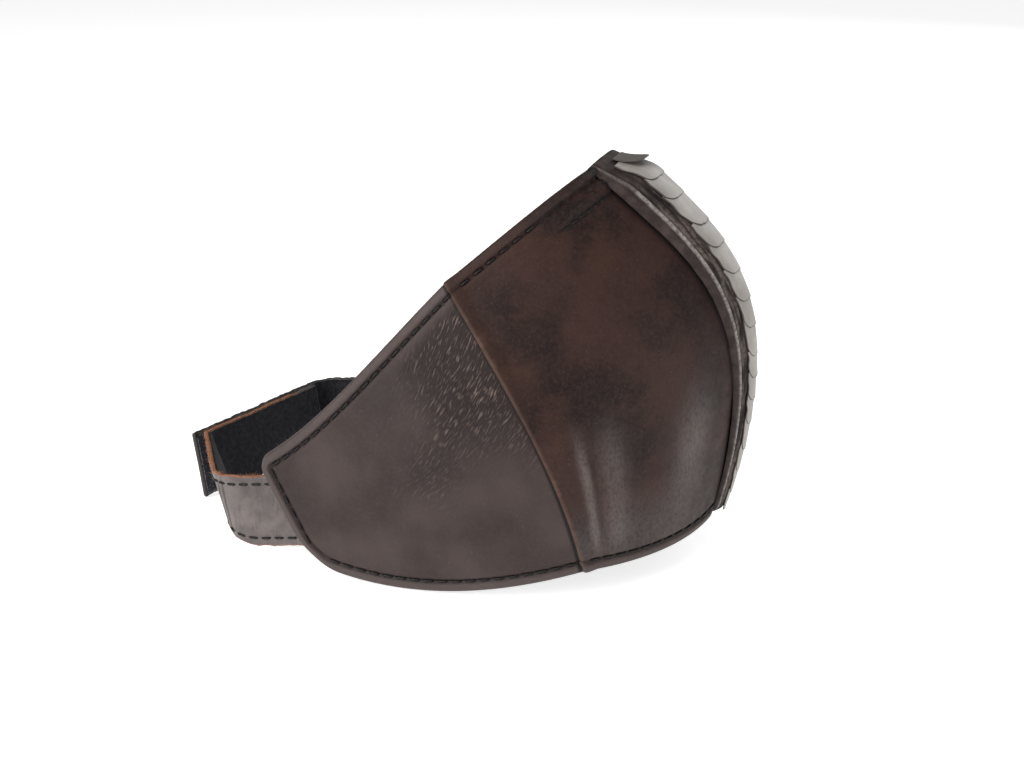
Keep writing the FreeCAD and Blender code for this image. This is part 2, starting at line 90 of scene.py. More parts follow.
STRAP_WIDTH = 22.0
STRAP_LINING = 0.8
GLUE = 0.05                     # between two layers
STRAP_EDGE = 2.5                # strap edge to its stitches
STRAP_ROOT = 24.0
ROOT_SPREAD = 0.8               # how much wider apart the roots' front ends are
RIGHT_PATH = [(-49.9, 66.0, 0.0), (-48.4, 75.5, 15.0), (-5.0, 100.5, 4.5), (44.0, 82.4, 0.0)]
LEFT_START = [(49.9, 66.0, 0.0), (53.0, 80.0, 9.0)]
STACK = 3.2                     # right strap's outer face to the left strap's, behind the head
LEFT_FLAP = 2.0
HINGE_BACK = 66.0               # hinge's place in the strap loop's own plane
ROOT_BEND = 20.0                # radius where the strap leaves the hem
HOOK_TAPE, LOOP_TAPE = 46.5, 34.5   # from a tape's start to the strap's end
TAPE_PILE = 0.6                 # thickness of the tapes
TRIM = 0.5                      # a strap's end past its lining and tape


# ------------------------------------------------------------------ curves and cheek surfaces
def bezier(points, t):
    """Points on a Bezier curve: t is an array, and the result has one more axis, of x, y and z."""
    t = np.asarray(t, float)[..., None]
    degree = len(points) - 1
    total = 0.0
    for i, point in enumerate(points):
        total = total + math.comb(degree, i) * t**i * (1 - t) ** (degree - i) * np.array(point)
    return total


def coons(bottom, top, front, back, u, v):
    """Surface between four edge curves."""
    u, v = np.broadcast_arrays(np.asarray(u, float), np.asarray(v, float))
    du, dv = u[..., None], v[..., None]
    along = bezier(bottom, u) * (1 - dv) + bezier(top, u) * dv
    across = bezier(front, v) * (1 - du) + bezier(back, v) * du
    low = np.array(bottom[0]) * (1 - du) + np.array(bottom[-1]) * du
    high = np.array(top[0]) * (1 - du) + np.array(top[-1]) * du
    return along + across - low * (1 - dv) - high * dv


def front_cheek(u, v):
    u, v = np.broadcast_arrays(np.asarray(u, float), np.asarray(v, float))
    fullness = 16 * u * (1 - u) * v * (1 - v) * CHEEK_CROWN
    flat = coons(FRONT_BOTTOM, FRONT_TOP, CENTRE_EDGE, SEAM_EDGE, u, v)
    return flat + fullness[..., None] * CROWN_DIRECTION


def rear_cheek(u, v):
    return coons(REAR_BOTTOM, REAR_TOP, SEAM_EDGE, REAR_EDGE, u, v)


STEP = 1e-3                     # for slopes of a surface, in shares of its length


def tangents(surface, u, v):
    return ((surface(u + STEP, v) - surface(u - STEP, v)) / (2 * STEP),
            (surface(u, v + STEP) - surface(u, v - STEP)) / (2 * STEP))


def unit(vectors):
    return vectors / np.linalg.norm(vectors, axis=-1, keepdims=True)


def dot(a, b):
    return (a * b).sum(-1)


def lifted(surface, u, v, height):
    """Points at a height outside the surface of the left cheek."""
    along_u, along_v = tangents(surface, u, v)
    return surface(u, v) + unit(np.cross(along_u, along_v)) * np.asarray(height, float)[..., None]


def smooth(low, high, x):
    """0 below low, 1 above high, smooth between."""
    t = np.clip((x - low) / (high - low), 0, 1)
    return t * t * (3 - 2 * t)


def window(rise, full, fall, end, x):
    """0 below rise, 1 from full to fall, 0 above end."""
    return smooth(rise, full, x) * (1 - smooth(fall, end, x))


def rounded(x):
    """Height of a quarter circle from 0 to 1, held outside."""
    return np.sqrt(np.clip(1 - (1 - np.clip(x, 0, 1)) ** 2, 0, 1))


def bump(centre, width, x):
    """1 at the centre, and almost 0 two widths away."""
    return np.exp(-(((x - centre) / width) ** 2))


# ------------------------------------------------------------------ value noise for shapes
def lattice_noise(seed, *coordinates):
    """Smooth noise from -1 to 1 on a unit lattice, the same on each run for one seed."""
    cells = [np.floor(c).astype(np.int64) for c in coordinates]
    shares = [c - np.floor(c) for c in coordinates]
    shares = [s * s * (3 - 2 * s) for s in shares]
    total = 0.0
    for corner in range(2 ** len(coordinates)):
        key = np.full(cells[0].shape, seed * 7919 + 17, np.int64)
        weight = 1.0
        for axis, (cell, share) in enumerate(zip(cells, shares)):
            high = corner >> axis & 1
            key = (key * 1103515245 + (cell + high) * 374761393 + 12345) % 2147483647
            weight = weight * (share if high else 1 - share)
        key = (key ^ key >> 13) * 1274126177 % 2147483647
        total = total + weight * (key / 1073741823.5 - 1)
    return total


def layered_noise(seed, x, y, octaves=3):
    """Lattice noise with finer, weaker layers on it."""
    total, size, strength = 0.0, 1.0, 1.0
    for octave in range(octaves):
        total = total + strength * lattice_noise(seed + octave, x * size, y * size)
        size, strength = size * 2.03, strength * 0.5
    return total / 1.75


def creases(seed, x, y, spacing):
    """Distance in millimetres to the nearest line of a net of irregular cells."""
    cell_x, cell_y = np.floor(x / spacing).astype(int), np.floor(y / spacing).astype(int)
    nearest = np.full(x.shape, 1e9)
    second = np.full(x.shape, 1e9)
    for i in (-1, 0, 1):
        for j in (-1, 0, 1):
            cx, cy = (cell_x + i).astype(float), (cell_y + j).astype(float)
            px = (cx + 0.5 + 0.46 * lattice_noise(seed, cx, cy)) * spacing
            py = (cy + 0.5 + 0.46 * lattice_noise(seed + 5, cx, cy)) * spacing
            distance = np.hypot(x - px, y - py)
            second = np.minimum(second, np.maximum(nearest, distance))
            nearest = np.minimum(nearest, distance)
    return second - nearest


# ------------------------------------------------------------------ mesh makers
def make_object(name, points, faces, material, attributes=None, flat=False):
    """A mesh object from points in millimetres in the frame's own axes."""
    mesh = bpy.data.meshes.new(name)
    mesh.from_pydata((np.asarray(points) * MM).tolist(), [], [tuple(face) for face in faces])
    mesh.polygons.foreach_set("use_smooth", [not flat] * len(mesh.polygons))
    for key, values in (attributes or {}).items():
        layer = mesh.attributes.new(key, "FLOAT", "POINT")
        layer.data.foreach_set("value", np.asarray(values, np.float32).ravel())
    mesh.materials.append(material)
    mesh.update()
    obj = bpy.data.objects.new(name, mesh)
    bpy.context.scene.collection.objects.link(obj)
    return obj


def grid_faces(rows, columns, first=0, flip=False, wrap=False):
    """Quads of a grid of points stored row by row; wrap joins the last column to the first."""
    faces = []
    for i in range(rows - 1):
        for j in range(columns if wrap else columns - 1):
            a = first + i * columns + j
            b = first + i * columns + (j + 1) % columns
            face = (a, b, b + columns, a + columns)
            faces.append(face[::-1] if flip else face)
    return faces


def border(rows, columns):
    """Indices round the edge of a grid, in order."""
    top = list(range(columns))
    right = [i * columns + columns - 1 for i in range(1, rows)]
    bottom = [(rows - 1) * columns + j for j in range(columns - 2, -1, -1)]
    left = [i * columns for i in range(rows - 2, 0, -1)]
    return top + right + bottom + left


def shell(outer, inner, flip=False):
    """Points and faces of a closed shell between two grids of the same size."""
    rows, columns = outer.shape[:2]
    count = rows * columns
    points = np.concatenate([outer.reshape(-1, 3), inner.reshape(-1, 3)])
    faces = grid_faces(rows, columns, flip=not flip) + grid_faces(rows, columns, count, flip)
    ring = border(rows, columns)
    for a, b in zip(ring, ring[1:] + ring[:1]):
        face = (a, b, b + count, a + count)
        faces.append(face if not flip else face[::-1])
    return points, faces


def mirrored(points, side):
    """Left-cheek points put on their side and into the row frame."""
    return points * np.array([side, 1.0, 1.0]) + ORIGIN_SHIFT


def tube(centres, radii, sides, twist=0.0, ply=0.0):
    """A closed tube along centres, with ply strands wound round it if ply is not 0."""
    centres = np.asarray(centres, float)
    ahead = unit(np.gradient(centres, axis=0))
    helper = np.array([0.0, 0.0, 1.0]) if abs(ahead[0][2]) < 0.8 else np.array([0.0, 1.0, 0.0])
    across = unit(np.cross(ahead, helper))
    up = np.cross(ahead, across)
    angles = np.arange(sides) * 2 * math.pi / sides
    wound = np.arange(len(centres))[:, None] * twist
    radius = np.asarray(radii)[:, None] * (1 + ply * np.cos(2 * (angles[None] - wound)))
    points = (centres[:, None] + radius[..., None] * (np.cos(angles)[None, :, None] * across[:, None]
                                                      + np.sin(angles)[None, :, None] * up[:, None]))
    rows = len(centres)
    faces = grid_faces(rows, sides, wrap=True)
    faces.append(tuple(range(sides))[::-1])
    faces.append(tuple(range((rows - 1) * sides, rows * sides)))
    return points.reshape(-1, 3), faces


def join_parts(parts):
    """One list of points and faces from several."""
    points, faces, total = [], [], 0
    for part_points, part_faces in parts:
        points.append(part_points)
        faces += [tuple(index + total for index in face) for face in part_faces]
        total += len(part_points)
    return np.concatenate(points), faces


# ------------------------------------------------------------------ material nodes
class Surface:
    """A material under construction: short calls that add and join shader nodes."""

    def __init__(self, name):
        self.material = bpy.data.materials.new(name)
        self.material.use_nodes = True
        self.tree = self.material.node_tree
        self.shader = self.tree.nodes["Principled BSDF"]
        self.place = self.add("ShaderNodeTexCoord").outputs["Object"]

    def add(self, kind, **settings):
        node = self.tree.nodes.new(kind)
        for key, value in settings.items():
            setattr(node, key, value)
        return node

    def put(self, socket, value):
        if isinstance(value, bpy.types.NodeSocket):
            self.tree.links.new(value, socket)
        elif isinstance(value, tuple) and len(value) == 3 and socket.type == "RGBA":
            socket.default_value = (*value, 1.0)
        else:
            socket.default_value = value

    def fill(self, node, **sockets):
        """Sets or joins several inputs of a node; _ in a name stands for a space."""
        for key, value in sockets.items():
            self.put(node.inputs[key.replace("_", " ")], value)
        return node

    def mapped(self, per_mm, stretch=(1, 1, 1)):
        """The object's own coordinates, per_mm units to the millimetre."""
        scale = tuple(1000 * per_mm * share for share in stretch)
        return self.fill(self.add("ShaderNodeMapping"), Vector=self.place, Scale=scale).outputs["Vector"]

    def attribute(self, name):
        return self.add("ShaderNodeAttribute", attribute_name=name).outputs["Fac"]

    def strokes(self, scale):
        """Noise laid out in the piece's own net_x and net_y attributes."""
        join = self.add("ShaderNodeCombineXYZ")
        self.fill(join, X=self.attribute("net_x"), Y=self.attribute("net_y"))
        node = self.add("ShaderNodeTexNoise", noise_dimensions="2D")
        self.fill(node, Vector=join.outputs["Vector"], Scale=scale, Detail=0.6, Roughness=0.45)
        return node.outputs["Fac"]

    def noise(self, per_mm, detail, roughness, stretch=(1, 1, 1), distortion=0.0):
        node = self.add("ShaderNodeTexNoise")
        self.fill(node, Vector=self.mapped(per_mm, stretch), Scale=1.0, Detail=detail, Roughness=roughness,
                  Distortion=distortion)
        return node.outputs["Fac"]

    def cells(self, per_mm, feature="DISTANCE_TO_EDGE"):
        node = self.add("ShaderNodeTexVoronoi", feature=feature)
        self.fill(node, Vector=self.mapped(per_mm), Scale=1.0, Randomness=1.0)
        return node.outputs["Distance"]

    def ramp(self, value, low, high, start=0.0, end=1.0):
        """Maps low..high to start..end, held outside."""
        node = self.add("ShaderNodeMapRange", interpolation_type="SMOOTHSTEP")
        self.fill(node, Value=value, From_Min=low, From_Max=high, To_Min=start, To_Max=end)
        return node.outputs["Result"]

    def spots(self, low, high, *noise, **layout):
        """Noise with its values from low to high spread over 0 to 1."""
        return self.ramp(self.noise(*noise, **layout), low, high)

    def maths(self, operation, a, b):
        node = self.add("ShaderNodeMath", operation=operation)
        self.put(node.inputs[0], a)
        self.put(node.inputs[1], b)
        return node.outputs[0]

    def product(self, a, b):
        return self.maths("MULTIPLY", a, b)

    def greater(self, a, b):
        return self.maths("MAXIMUM", a, b)

    def mix(self, share, a, b):
        node = self.add("ShaderNodeMix", data_type="RGBA", blend_type="MIX")
        self.put(node.inputs[0], share)
        self.put(node.inputs[6], a)
        self.put(node.inputs[7], b)
        return node.outputs[2]

    def layered(self, colour, *layers):
        """Lays each (share, strength, paint) over a colour in turn."""
        for share, strength, paint in layers:
            colour = self.mix(self.product(share, strength), colour, paint)
        return colour

    def relief(self, height, distance_mm, strength, under=None):
        node = self.add("ShaderNodeBump")
        self.fill(node, Height=height, Distance=distance_mm * MM, Strength=strength)
        if under is not None:
            self.put(node.inputs["Normal"], under)
        return node.outputs["Normal"]

    def finish(self, **sockets):
        self.fill(self.shader, **sockets)
        return self.material


def leather_grain(surface, pore_per_mm, depth):
    """Fine pores and soft creases of smooth leather, as a normal."""
    pores = surface.ramp(surface.cells(pore_per_mm), 0.0, 0.16)
    normal = surface.relief(pores, depth, 0.55)
    return surface.relief(surface.noise(0.35, 5.0, 0.6), depth * 3.0, 0.5, normal)


SHADOW = (0.004, 0.003, 0.003)  # painted shade, as down in stitch grooves, along seams and beside the strip's wall


def front_leather():
    """Pull-up leather: dark red-brown, mottled, with fine pale scratches, a waxy sheen and painted sheen."""
    s = Surface("front_leather")
    painted_sheen = s.attribute("painted_sheen")
    grains = s.ramp(s.noise(1.3, 4.0, 0.65, stretch=(1, 1, 0.6)), 0.3, 0.6, 0.45, 1.0)
    pits = s.ramp(s.noise(1.3, 3.0, 0.6), 0.30, 0.42, 1.0, 0.0)
    red = s.spots(0.46, 0.72, 0.075, 5.0, 0.65, distortion=0.3)
    scratches = s.spots(0.745, 0.79, 0.45, 2.0, 0.5, stretch=(1, 1, 5))
    colour = s.layered(
        s.mix(s.spots(0.36, 0.66, 0.040, 4.0, 0.6), (0.0070, 0.0034, 0.0030), (0.028, 0.0125, 0.0102)),
        (red, 0.6, (0.038, 0.0155, 0.0110)),
        (s.spots(0.35, 0.70, 0.9, 4.0, 0.7), 0.35, (0.047, 0.0225, 0.0160)),
        (s.spots(0.60, 0.74, 1.7, 3.0, 0.6), 0.32, (0.105, 0.060, 0.043)),
        (pits, 0.45, (0.008, 0.004, 0.0035)),
        (scratches, 0.35, (0.15, 0.095, 0.072)),
        # painted sheen: grey highlight over the wrinkled zones, broken by the grain
        (s.product(painted_sheen, grains), 1.0, (0.098, 0.080, 0.075)),
        (s.attribute("worn"), 0.70, (0.090, 0.052, 0.038)),
        (s.attribute("hem"), 1.0, (0.064, 0.048, 0.043)),
        # painted shade from the dark attribute: stitch grooves, the pocket's stitch line and beside the
        # strip
        (s.attribute("dark"), 1.0, SHADOW))
    rough = s.ramp(s.noise(0.2, 4.0, 0.6), 0.3, 0.7, 0.46, 0.60)
    # fine wrinkle relief, only where the sheen is painted
    wrinkled = s.product(s.noise(0.9, 4.0, 0.6, stretch=(1, 1, 0.45)), painted_sheen)
    normal = s.relief(wrinkled, 0.22, 0.8, leather_grain(s, 1.5, 0.05))
    return s.finish(Base_Color=colour, Roughness=rough, Specular_IOR_Level=0.16, Normal=normal)


def rear_leather():
    """Smoother grey-brown leather; painted darker as shade beside the seam, with painted highlights on short
    creases.
    """
    s = Surface("rear_leather")
    shaded_crease_zone = s.attribute("shaded_crease_zone")
    lines = s.ramp(s.strokes(1.0), 0.61, 0.76)
    fine = s.ramp(s.strokes(1.7), 0.59, 0.74)
    # painted highlights: pale lines along the creases
    light = s.greater(s.product(lines, s.spots(0.34, 0.52, 0.22, 2.0, 0.5)), s.product(fine, 0.55))
    colour = s.layered(
        s.mix(s.spots(0.35, 0.7, 0.035, 3.0, 0.5), (0.026, 0.0168, 0.0153), (0.050, 0.0350, 0.0322)),
        (s.spots(0.4, 0.7, 1.1, 4.0, 0.7), 0.22, (0.060, 0.045, 0.041)),
        # painted shade: darker by the seam and towards the top
        (shaded_crease_zone, 0.92, (0.0112, 0.0056, 0.0047)),
        (s.product(light, shaded_crease_zone), 0.72, (0.135, 0.098, 0.082)),
        (s.spots(0.77, 0.82, 0.9, 1.0, 0.4), 0.35, (0.13, 0.105, 0.095)),
        (s.attribute("hem"), 1.0, (0.078, 0.060, 0.055)),
        # painted shade from the dark attribute: the hem's stitch groove and the seam's shadow line
        (s.attribute("dark"), 1.0, SHADOW))
    rough = s.ramp(s.noise(0.3, 4.0, 0.6), 0.3, 0.7, 0.42, 0.54)
    pebbles = s.product(s.greater(lines, s.product(fine, 0.5)), shaded_crease_zone)
    normal = s.relief(pebbles, -0.25, 0.8, leather_grain(s, 2.4, 0.03))
    return s.finish(Base_Color=colour, Roughness=rough, Specular_IOR_Level=0.18, Normal=normal)


def strap_leather():
    """Grey-brown leather with creases painted dark as shade, and raw orange-brown fibre on its cut edges."""
    s = Surface("strap_leather")
    raw, bend_patch = s.attribute("raw"), s.attribute("bend_patch")
    streak = s.spots(0.50, 0.70, 0.30, 4.0, 0.65, stretch=(3, 3, 0.30), distortion=0.4)
    cut = s.mix(s.spots(0.35, 0.65, 1.3, 4.0, 0.7, stretch=(2, 2, 0.6)),
                (0.19, 0.060, 0.026), (0.44, 0.20, 0.105))
    colour = s.layered(
        s.mix(s.spots(0.32, 0.70, 0.10, 4.0, 0.6), (0.066, 0.052, 0.048), (0.140, 0.116, 0.108)),
        (streak, 0.45, (0.062, 0.048, 0.043)),
        # lighter rust-brown patch at the bend
        (bend_patch, 0.6, (0.20, 0.135, 0.095)),
        # painted shade in the bend's creases and on the strap's last millimetre; the left strap's cut edges
        # dark
        (s.attribute("fold"), 1.0, (0.014, 0.009, 0.008)),
        (raw, 1.0, cut))
    rough = s.ramp(raw, 0.0, 1.0, 0.46, 0.92)
    fuzz = s.product(s.noise(1.6, 5.0, 0.7), s.greater(raw, bend_patch))
    normal = s.relief(fuzz, 0.5, 0.9, s.relief(streak, -0.12, 0.6, leather_grain(s, 1.6, 0.05)))
    return s.finish(Base_Color=colour, Roughness=rough, Specular_IOR_Level=0.40, Normal=normal)


def snake_skin():
    """Taupe belly scales: smooth, satin, dark rims, painted shade on undersides and the lifted top scale."""
    s = Surface("snake_scale")
    colour = s.layered(
        s.mix(s.spots(0.35, 0.68, 0.12, 4.0, 0.6), (0.235, 0.212, 0.190), (0.305, 0.282, 0.255)),
        (s.spots(0.55, 0.75, 0.5, 3.0, 0.6, stretch=(4, 1, 1)), 0.22, (0.165, 0.142, 0.124)),
        (s.attribute("rim"), 1.0, (0.020, 0.014, 0.0125)),
        # painted shade: brown on the undersides and, at 0.75, on the lifted top scale
        (s.attribute("under"), 1.0, (0.050, 0.038, 0.033)))
    normal = s.relief(s.noise(0.9, 4.0, 0.6), 0.05, 0.5)
    return s.finish(Base_Color=colour, Roughness=0.46, Specular_IOR_Level=0.40, Normal=normal)


def strip_skin():
    """Side of the strip: brown rolled piping, pale worn rim, and wrinkled skin beside the scales, troughs
    painted dark.
    """
    s = Surface("strip_skin")
    wall = s.mix(s.spots(0.35, 0.7, 0.25, 4.0, 0.6), (0.024, 0.0162, 0.0146), (0.047, 0.034, 0.031))
    rim = s.mix(s.spots(0.34, 0.66, 0.8, 4.0, 0.7), (0.095, 0.080, 0.072), (0.25, 0.23, 0.212))
    # painted shade: the skin darker in the wrinkles' troughs
    skin = s.mix(s.attribute("fold"), (0.0085, 0.0060, 0.0055), (0.088, 0.069, 0.061))
    skin = s.layered(skin, (s.spots(0.46, 0.62, 0.85, 4.0, 0.65), 0.75, (0.018, 0.0125, 0.011)))
    colour = s.mix(s.attribute("rim"), s.mix(s.attribute("skin"), wall, skin), rim)
    bumps = s.relief(s.noise(1.1, 4.0, 0.6), 0.08, 0.5)
    return s.finish(Base_Color=colour, Roughness=0.58, Specular_IOR_Level=0.14, Normal=bumps)


def felt():
    """Black brushed felt."""
    s = Surface("felt")
    colour = s.mix(s.spots(0.35, 0.7, 0.8, 5.0, 0.7), (0.0055, 0.0055, 0.0065), (0.024, 0.024, 0.027))
    normal = s.relief(s.noise(1.8, 6.0, 0.75), 0.35, 0.8)
    return s.finish(Base_Color=colour, Roughness=0.95, Specular_IOR_Level=0.10, Sheen_Weight=0.2,
                    Sheen_Roughness=0.6, Normal=normal)


def strap_cloth():
    """Woven lining of the straps."""
    s = Surface("strap_cloth")
    warp = s.add("ShaderNodeTexWave", wave_type="BANDS", bands_direction="Z")
    s.fill(warp, Vector=s.mapped(1.0), Scale=0.75, Distortion=1.6, Detail=3.0)
    colour = s.mix(s.spots(0.35, 0.7, 0.7, 5.0, 0.7), (0.0045, 0.0045, 0.0065), (0.017, 0.0175, 0.021))
    normal = s.relief(warp.outputs["Fac"], 0.12, 0.6, s.relief(s.noise(2.4, 4.0, 0.7), 0.2, 0.7))
    return s.finish(Base_Color=colour, Roughness=0.9, Specular_IOR_Level=0.12, Sheen_Weight=0.10,
                    Sheen_Roughness=0.5, Normal=normal)


def tape_pile():
    """Navy-black pile of the hook and loop tapes, painted darker between the tufts as shade."""
    s = Surface("tape_pile")
    tufts = s.cells(1.25, "F1")
    # painted shade: darker away from each tuft's middle, where the relief is low
    colour = s.mix(s.ramp(tufts, 0.1, 0.7), (0.010, 0.014, 0.026), (0.0035, 0.005, 0.010))
    normal = s.relief(s.ramp(tufts, 0.0, 0.6, 1.0, 0.0), 0.4, 0.8)
    return s.finish(Base_Color=colour, Roughness=0.85, Specular_IOR_Level=0.25, Sheen_Weight=0.3,
                    Sheen_Roughness=0.5, Normal=normal)


def thread():
    """Waxed dark thread."""
    s = Surface("thread")
    colour = s.mix(s.spots(0.35, 0.65, 1.2, 2.0, 0.5), (0.0020, 0.0018, 0.0018), (0.0075, 0.0062, 0.0060))
    return s.finish(Base_Color=colour, Roughness=0.45, Specular_IOR_Level=0.25,
                    Normal=s.relief(s.noise(4.0, 2.0, 0.6), 0.04, 0.5))


def fibre(name, colour):
    """Loose fibres along a cut or brushed edge."""
    s = Surface(name)
    shade = s.mix(s.noise(1.0, 2.0, 0.5), tuple(0.5 * c for c in colour), colour)
    return s.finish(Base_Color=shade, Roughness=0.8, Specular_IOR_Level=0.2, Sheen_Weight=0.3)


def wire_metal():
    """Plain aluminium with fine marks along it."""
    s = Surface("wire_metal")
    marks = s.noise(2.0, 3.0, 0.6, stretch=(0.2, 1, 1))
    return s.finish(Base_Color=(0.78, 0.78, 0.80), Metallic=1.0,
                    Roughness=s.ramp(marks, 0.3, 0.7, 0.28, 0.45), Normal=s.relief(marks, 0.01, 0.5))


FRONT_LEATHER = front_leather()
REAR_LEATHER = rear_leather()
STRAP_LEATHER = strap_leather()
SCALE = snake_skin()
STRIP_SKIN = strip_skin()
FELT_CLOTH = felt()
STRAP_CLOTH = strap_cloth()
TAPE = tape_pile()
THREAD_FINISH = thread()
ORANGE_FIBRE = fibre("orange_fibre", (0.50, 0.21, 0.10))
BLACK_FIBRE = fibre("black_fibre", (0.030, 0.030, 0.034))
WIRE = wire_metal()


# ------------------------------------------------------------------ cheek panels
def graded(length, fine_zone, fine, coarse):
    """Shares of a length, closer together within fine_zone of both ends."""
    ends = np.arange(0, fine_zone, fine)
    count = max(2, round((length - 2 * fine_zone) / coarse))
    middle = np.linspace(fine_zone, length - fine_zone, count)
    return np.concatenate([ends, middle, (length - ends)[::-1]]) / length


def square_length(surface, u, v, crossing):
    """Millimetres for one unit of v (crossing 1) or u (0), measured square to the panel's edge."""
    both = tangents(surface, u, v)
    across, edge = both[crossing], both[1 - crossing]
    return np.linalg.norm(across - edge * (dot(across, edge) / dot(edge, edge))[..., None], axis=-1)


CORNER = 5.0                    # radius of the rear panels' upper rear corners
LOWER_CORNER = 8.5


def rounded_corner(p, q, radius):
    """Moves distances from two edges so that the corner between them is rounded."""
    inset, reach = np.minimum(p, q), np.maximum(p, q)
    inside = reach < radius
    left = np.maximum(radius - inset, 1e-6)
    angle = math.pi / 4 * (1 - (reach - inset) / left)
    near, far = radius - left * np.cos(angle), radius - left * np.sin(angle)
    new_p = np.where(inside, np.where(p <= q, near, far), p)
    new_q = np.where(inside, np.where(p <= q, far, near), q)
    return new_p, new_q


def panel_grid(surface, u, v, rounded_rear):
    """Grid of u and v with rounded rear corners, and each point's distance from the edges."""
    grid_u, grid_v = np.meshgrid(u, v, indexing="ij")
    top = square_length(surface, grid_u, np.ones_like(grid_v), 1)
    bottom = square_length(surface, grid_u, np.zeros_like(grid_v), 1)
    from_top, from_bottom = (1 - grid_v) * top, grid_v * bottom
    hem = np.minimum(from_top, from_bottom)
    if rounded_rear:
        rear = square_length(surface, np.ones_like(grid_u), grid_v, 0)
        from_rear = (1 - grid_u) * rear
        new_top, rear_top = rounded_corner(from_top, from_rear, CORNER)
        new_bottom, rear_bottom = rounded_corner(from_bottom, from_rear, LOWER_CORNER)
        upper = grid_v > 0.5
        hem = np.minimum(hem, from_rear)
        grid_u = 1 - np.where(upper, rear_top, rear_bottom) / rear
        grid_v = np.where(upper, 1 - new_top / top, new_bottom / bottom)
    return grid_u, grid_v, hem, from_top, from_bottom


ROLL = 1.35                     # radius of the rolled hem's edge
ROLL_DEPTH = 1.5                # how far the edge is rolled inward
HEM_RISE = 0.75                 # the folded hem stands on the panel


def hem_height(distance, pucker):
    """Rolled edge, flat hem, stitched groove and the panel beyond it."""
    roll = -ROLL_DEPTH + (ROLL_DEPTH + HEM_RISE) * rounded(distance / ROLL)
    fall = HEM_RISE * (1 - smooth(HEM - 1.3, HEM - 0.1, distance))
    groove = -0.42 * bump(HEM + 0.05, 0.55, distance) * (1 + 0.35 * pucker)
    beyond = 0.16 * bump(HEM + 2.1, 1.3, distance) * (0.7 + 0.3 * pucker)
    return np.where(distance < ROLL, roll, fall) + groove + beyond


def inner_height(distance):
    """Back of the leather, thicker under the folded hem."""
    return -ROLL_DEPTH - (LEATHER - 0.7) * rounded(distance / ROLL) + 0.8 * smooth(ROLL, HEM, distance)


def hem_colour(seed, along, hem):
    """1 on the lighter band of the hem and 0 past it, uneven along its length."""
    return (1 - smooth(HEM - 1.2, HEM - 0.5, hem)) * (0.75 + 0.25 * layered_noise(seed, along / 3, hem))


def panel(name, side, surface, u, v, height, inner, material, marks, rounded_rear):
    """One cheek panel as a closed sheet of leather."""
    grid_u, grid_v, hem, from_top, from_bottom = panel_grid(surface, u, v, rounded_rear)
    outer_height, attributes = height(grid_u, grid_v, hem, from_top, from_bottom)
    outer = mirrored(lifted(surface, grid_u, grid_v, outer_height), side)
    under = mirrored(lifted(surface, grid_u, grid_v, inner(grid_u, grid_v, hem)), side)
    points, faces = shell(outer, under, flip=side < 0)
    zeros = np.zeros(outer_height.size)
    attributes = {key: np.concatenate([value.ravel(), value.ravel() if key in marks else zeros])
                  for key, value in attributes.items()}
    return make_object(name, points, faces, material, attributes)


def puckers(distance_along):
    return np.cos(distance_along * 2 * math.pi / STITCH_PITCH)


CREASE_LEAN = math.radians(68)  # how far the creases beside the seam turn from the panel's v
CREASE_CELL = (0.50, 3.2)       # size of the creases, across and along
REAR_SLOPE = 20.0               # what the rear panel's tallest column adds to its length
SEAM_RISE = 0.95                # the front panel's folded edge stands on the rear panel
SEAM_LAP = 0.9                  # how far it laps over, in millimetres
SEAM_FOLD = 5.5                 # how far back from its edge the fold lifts the leather


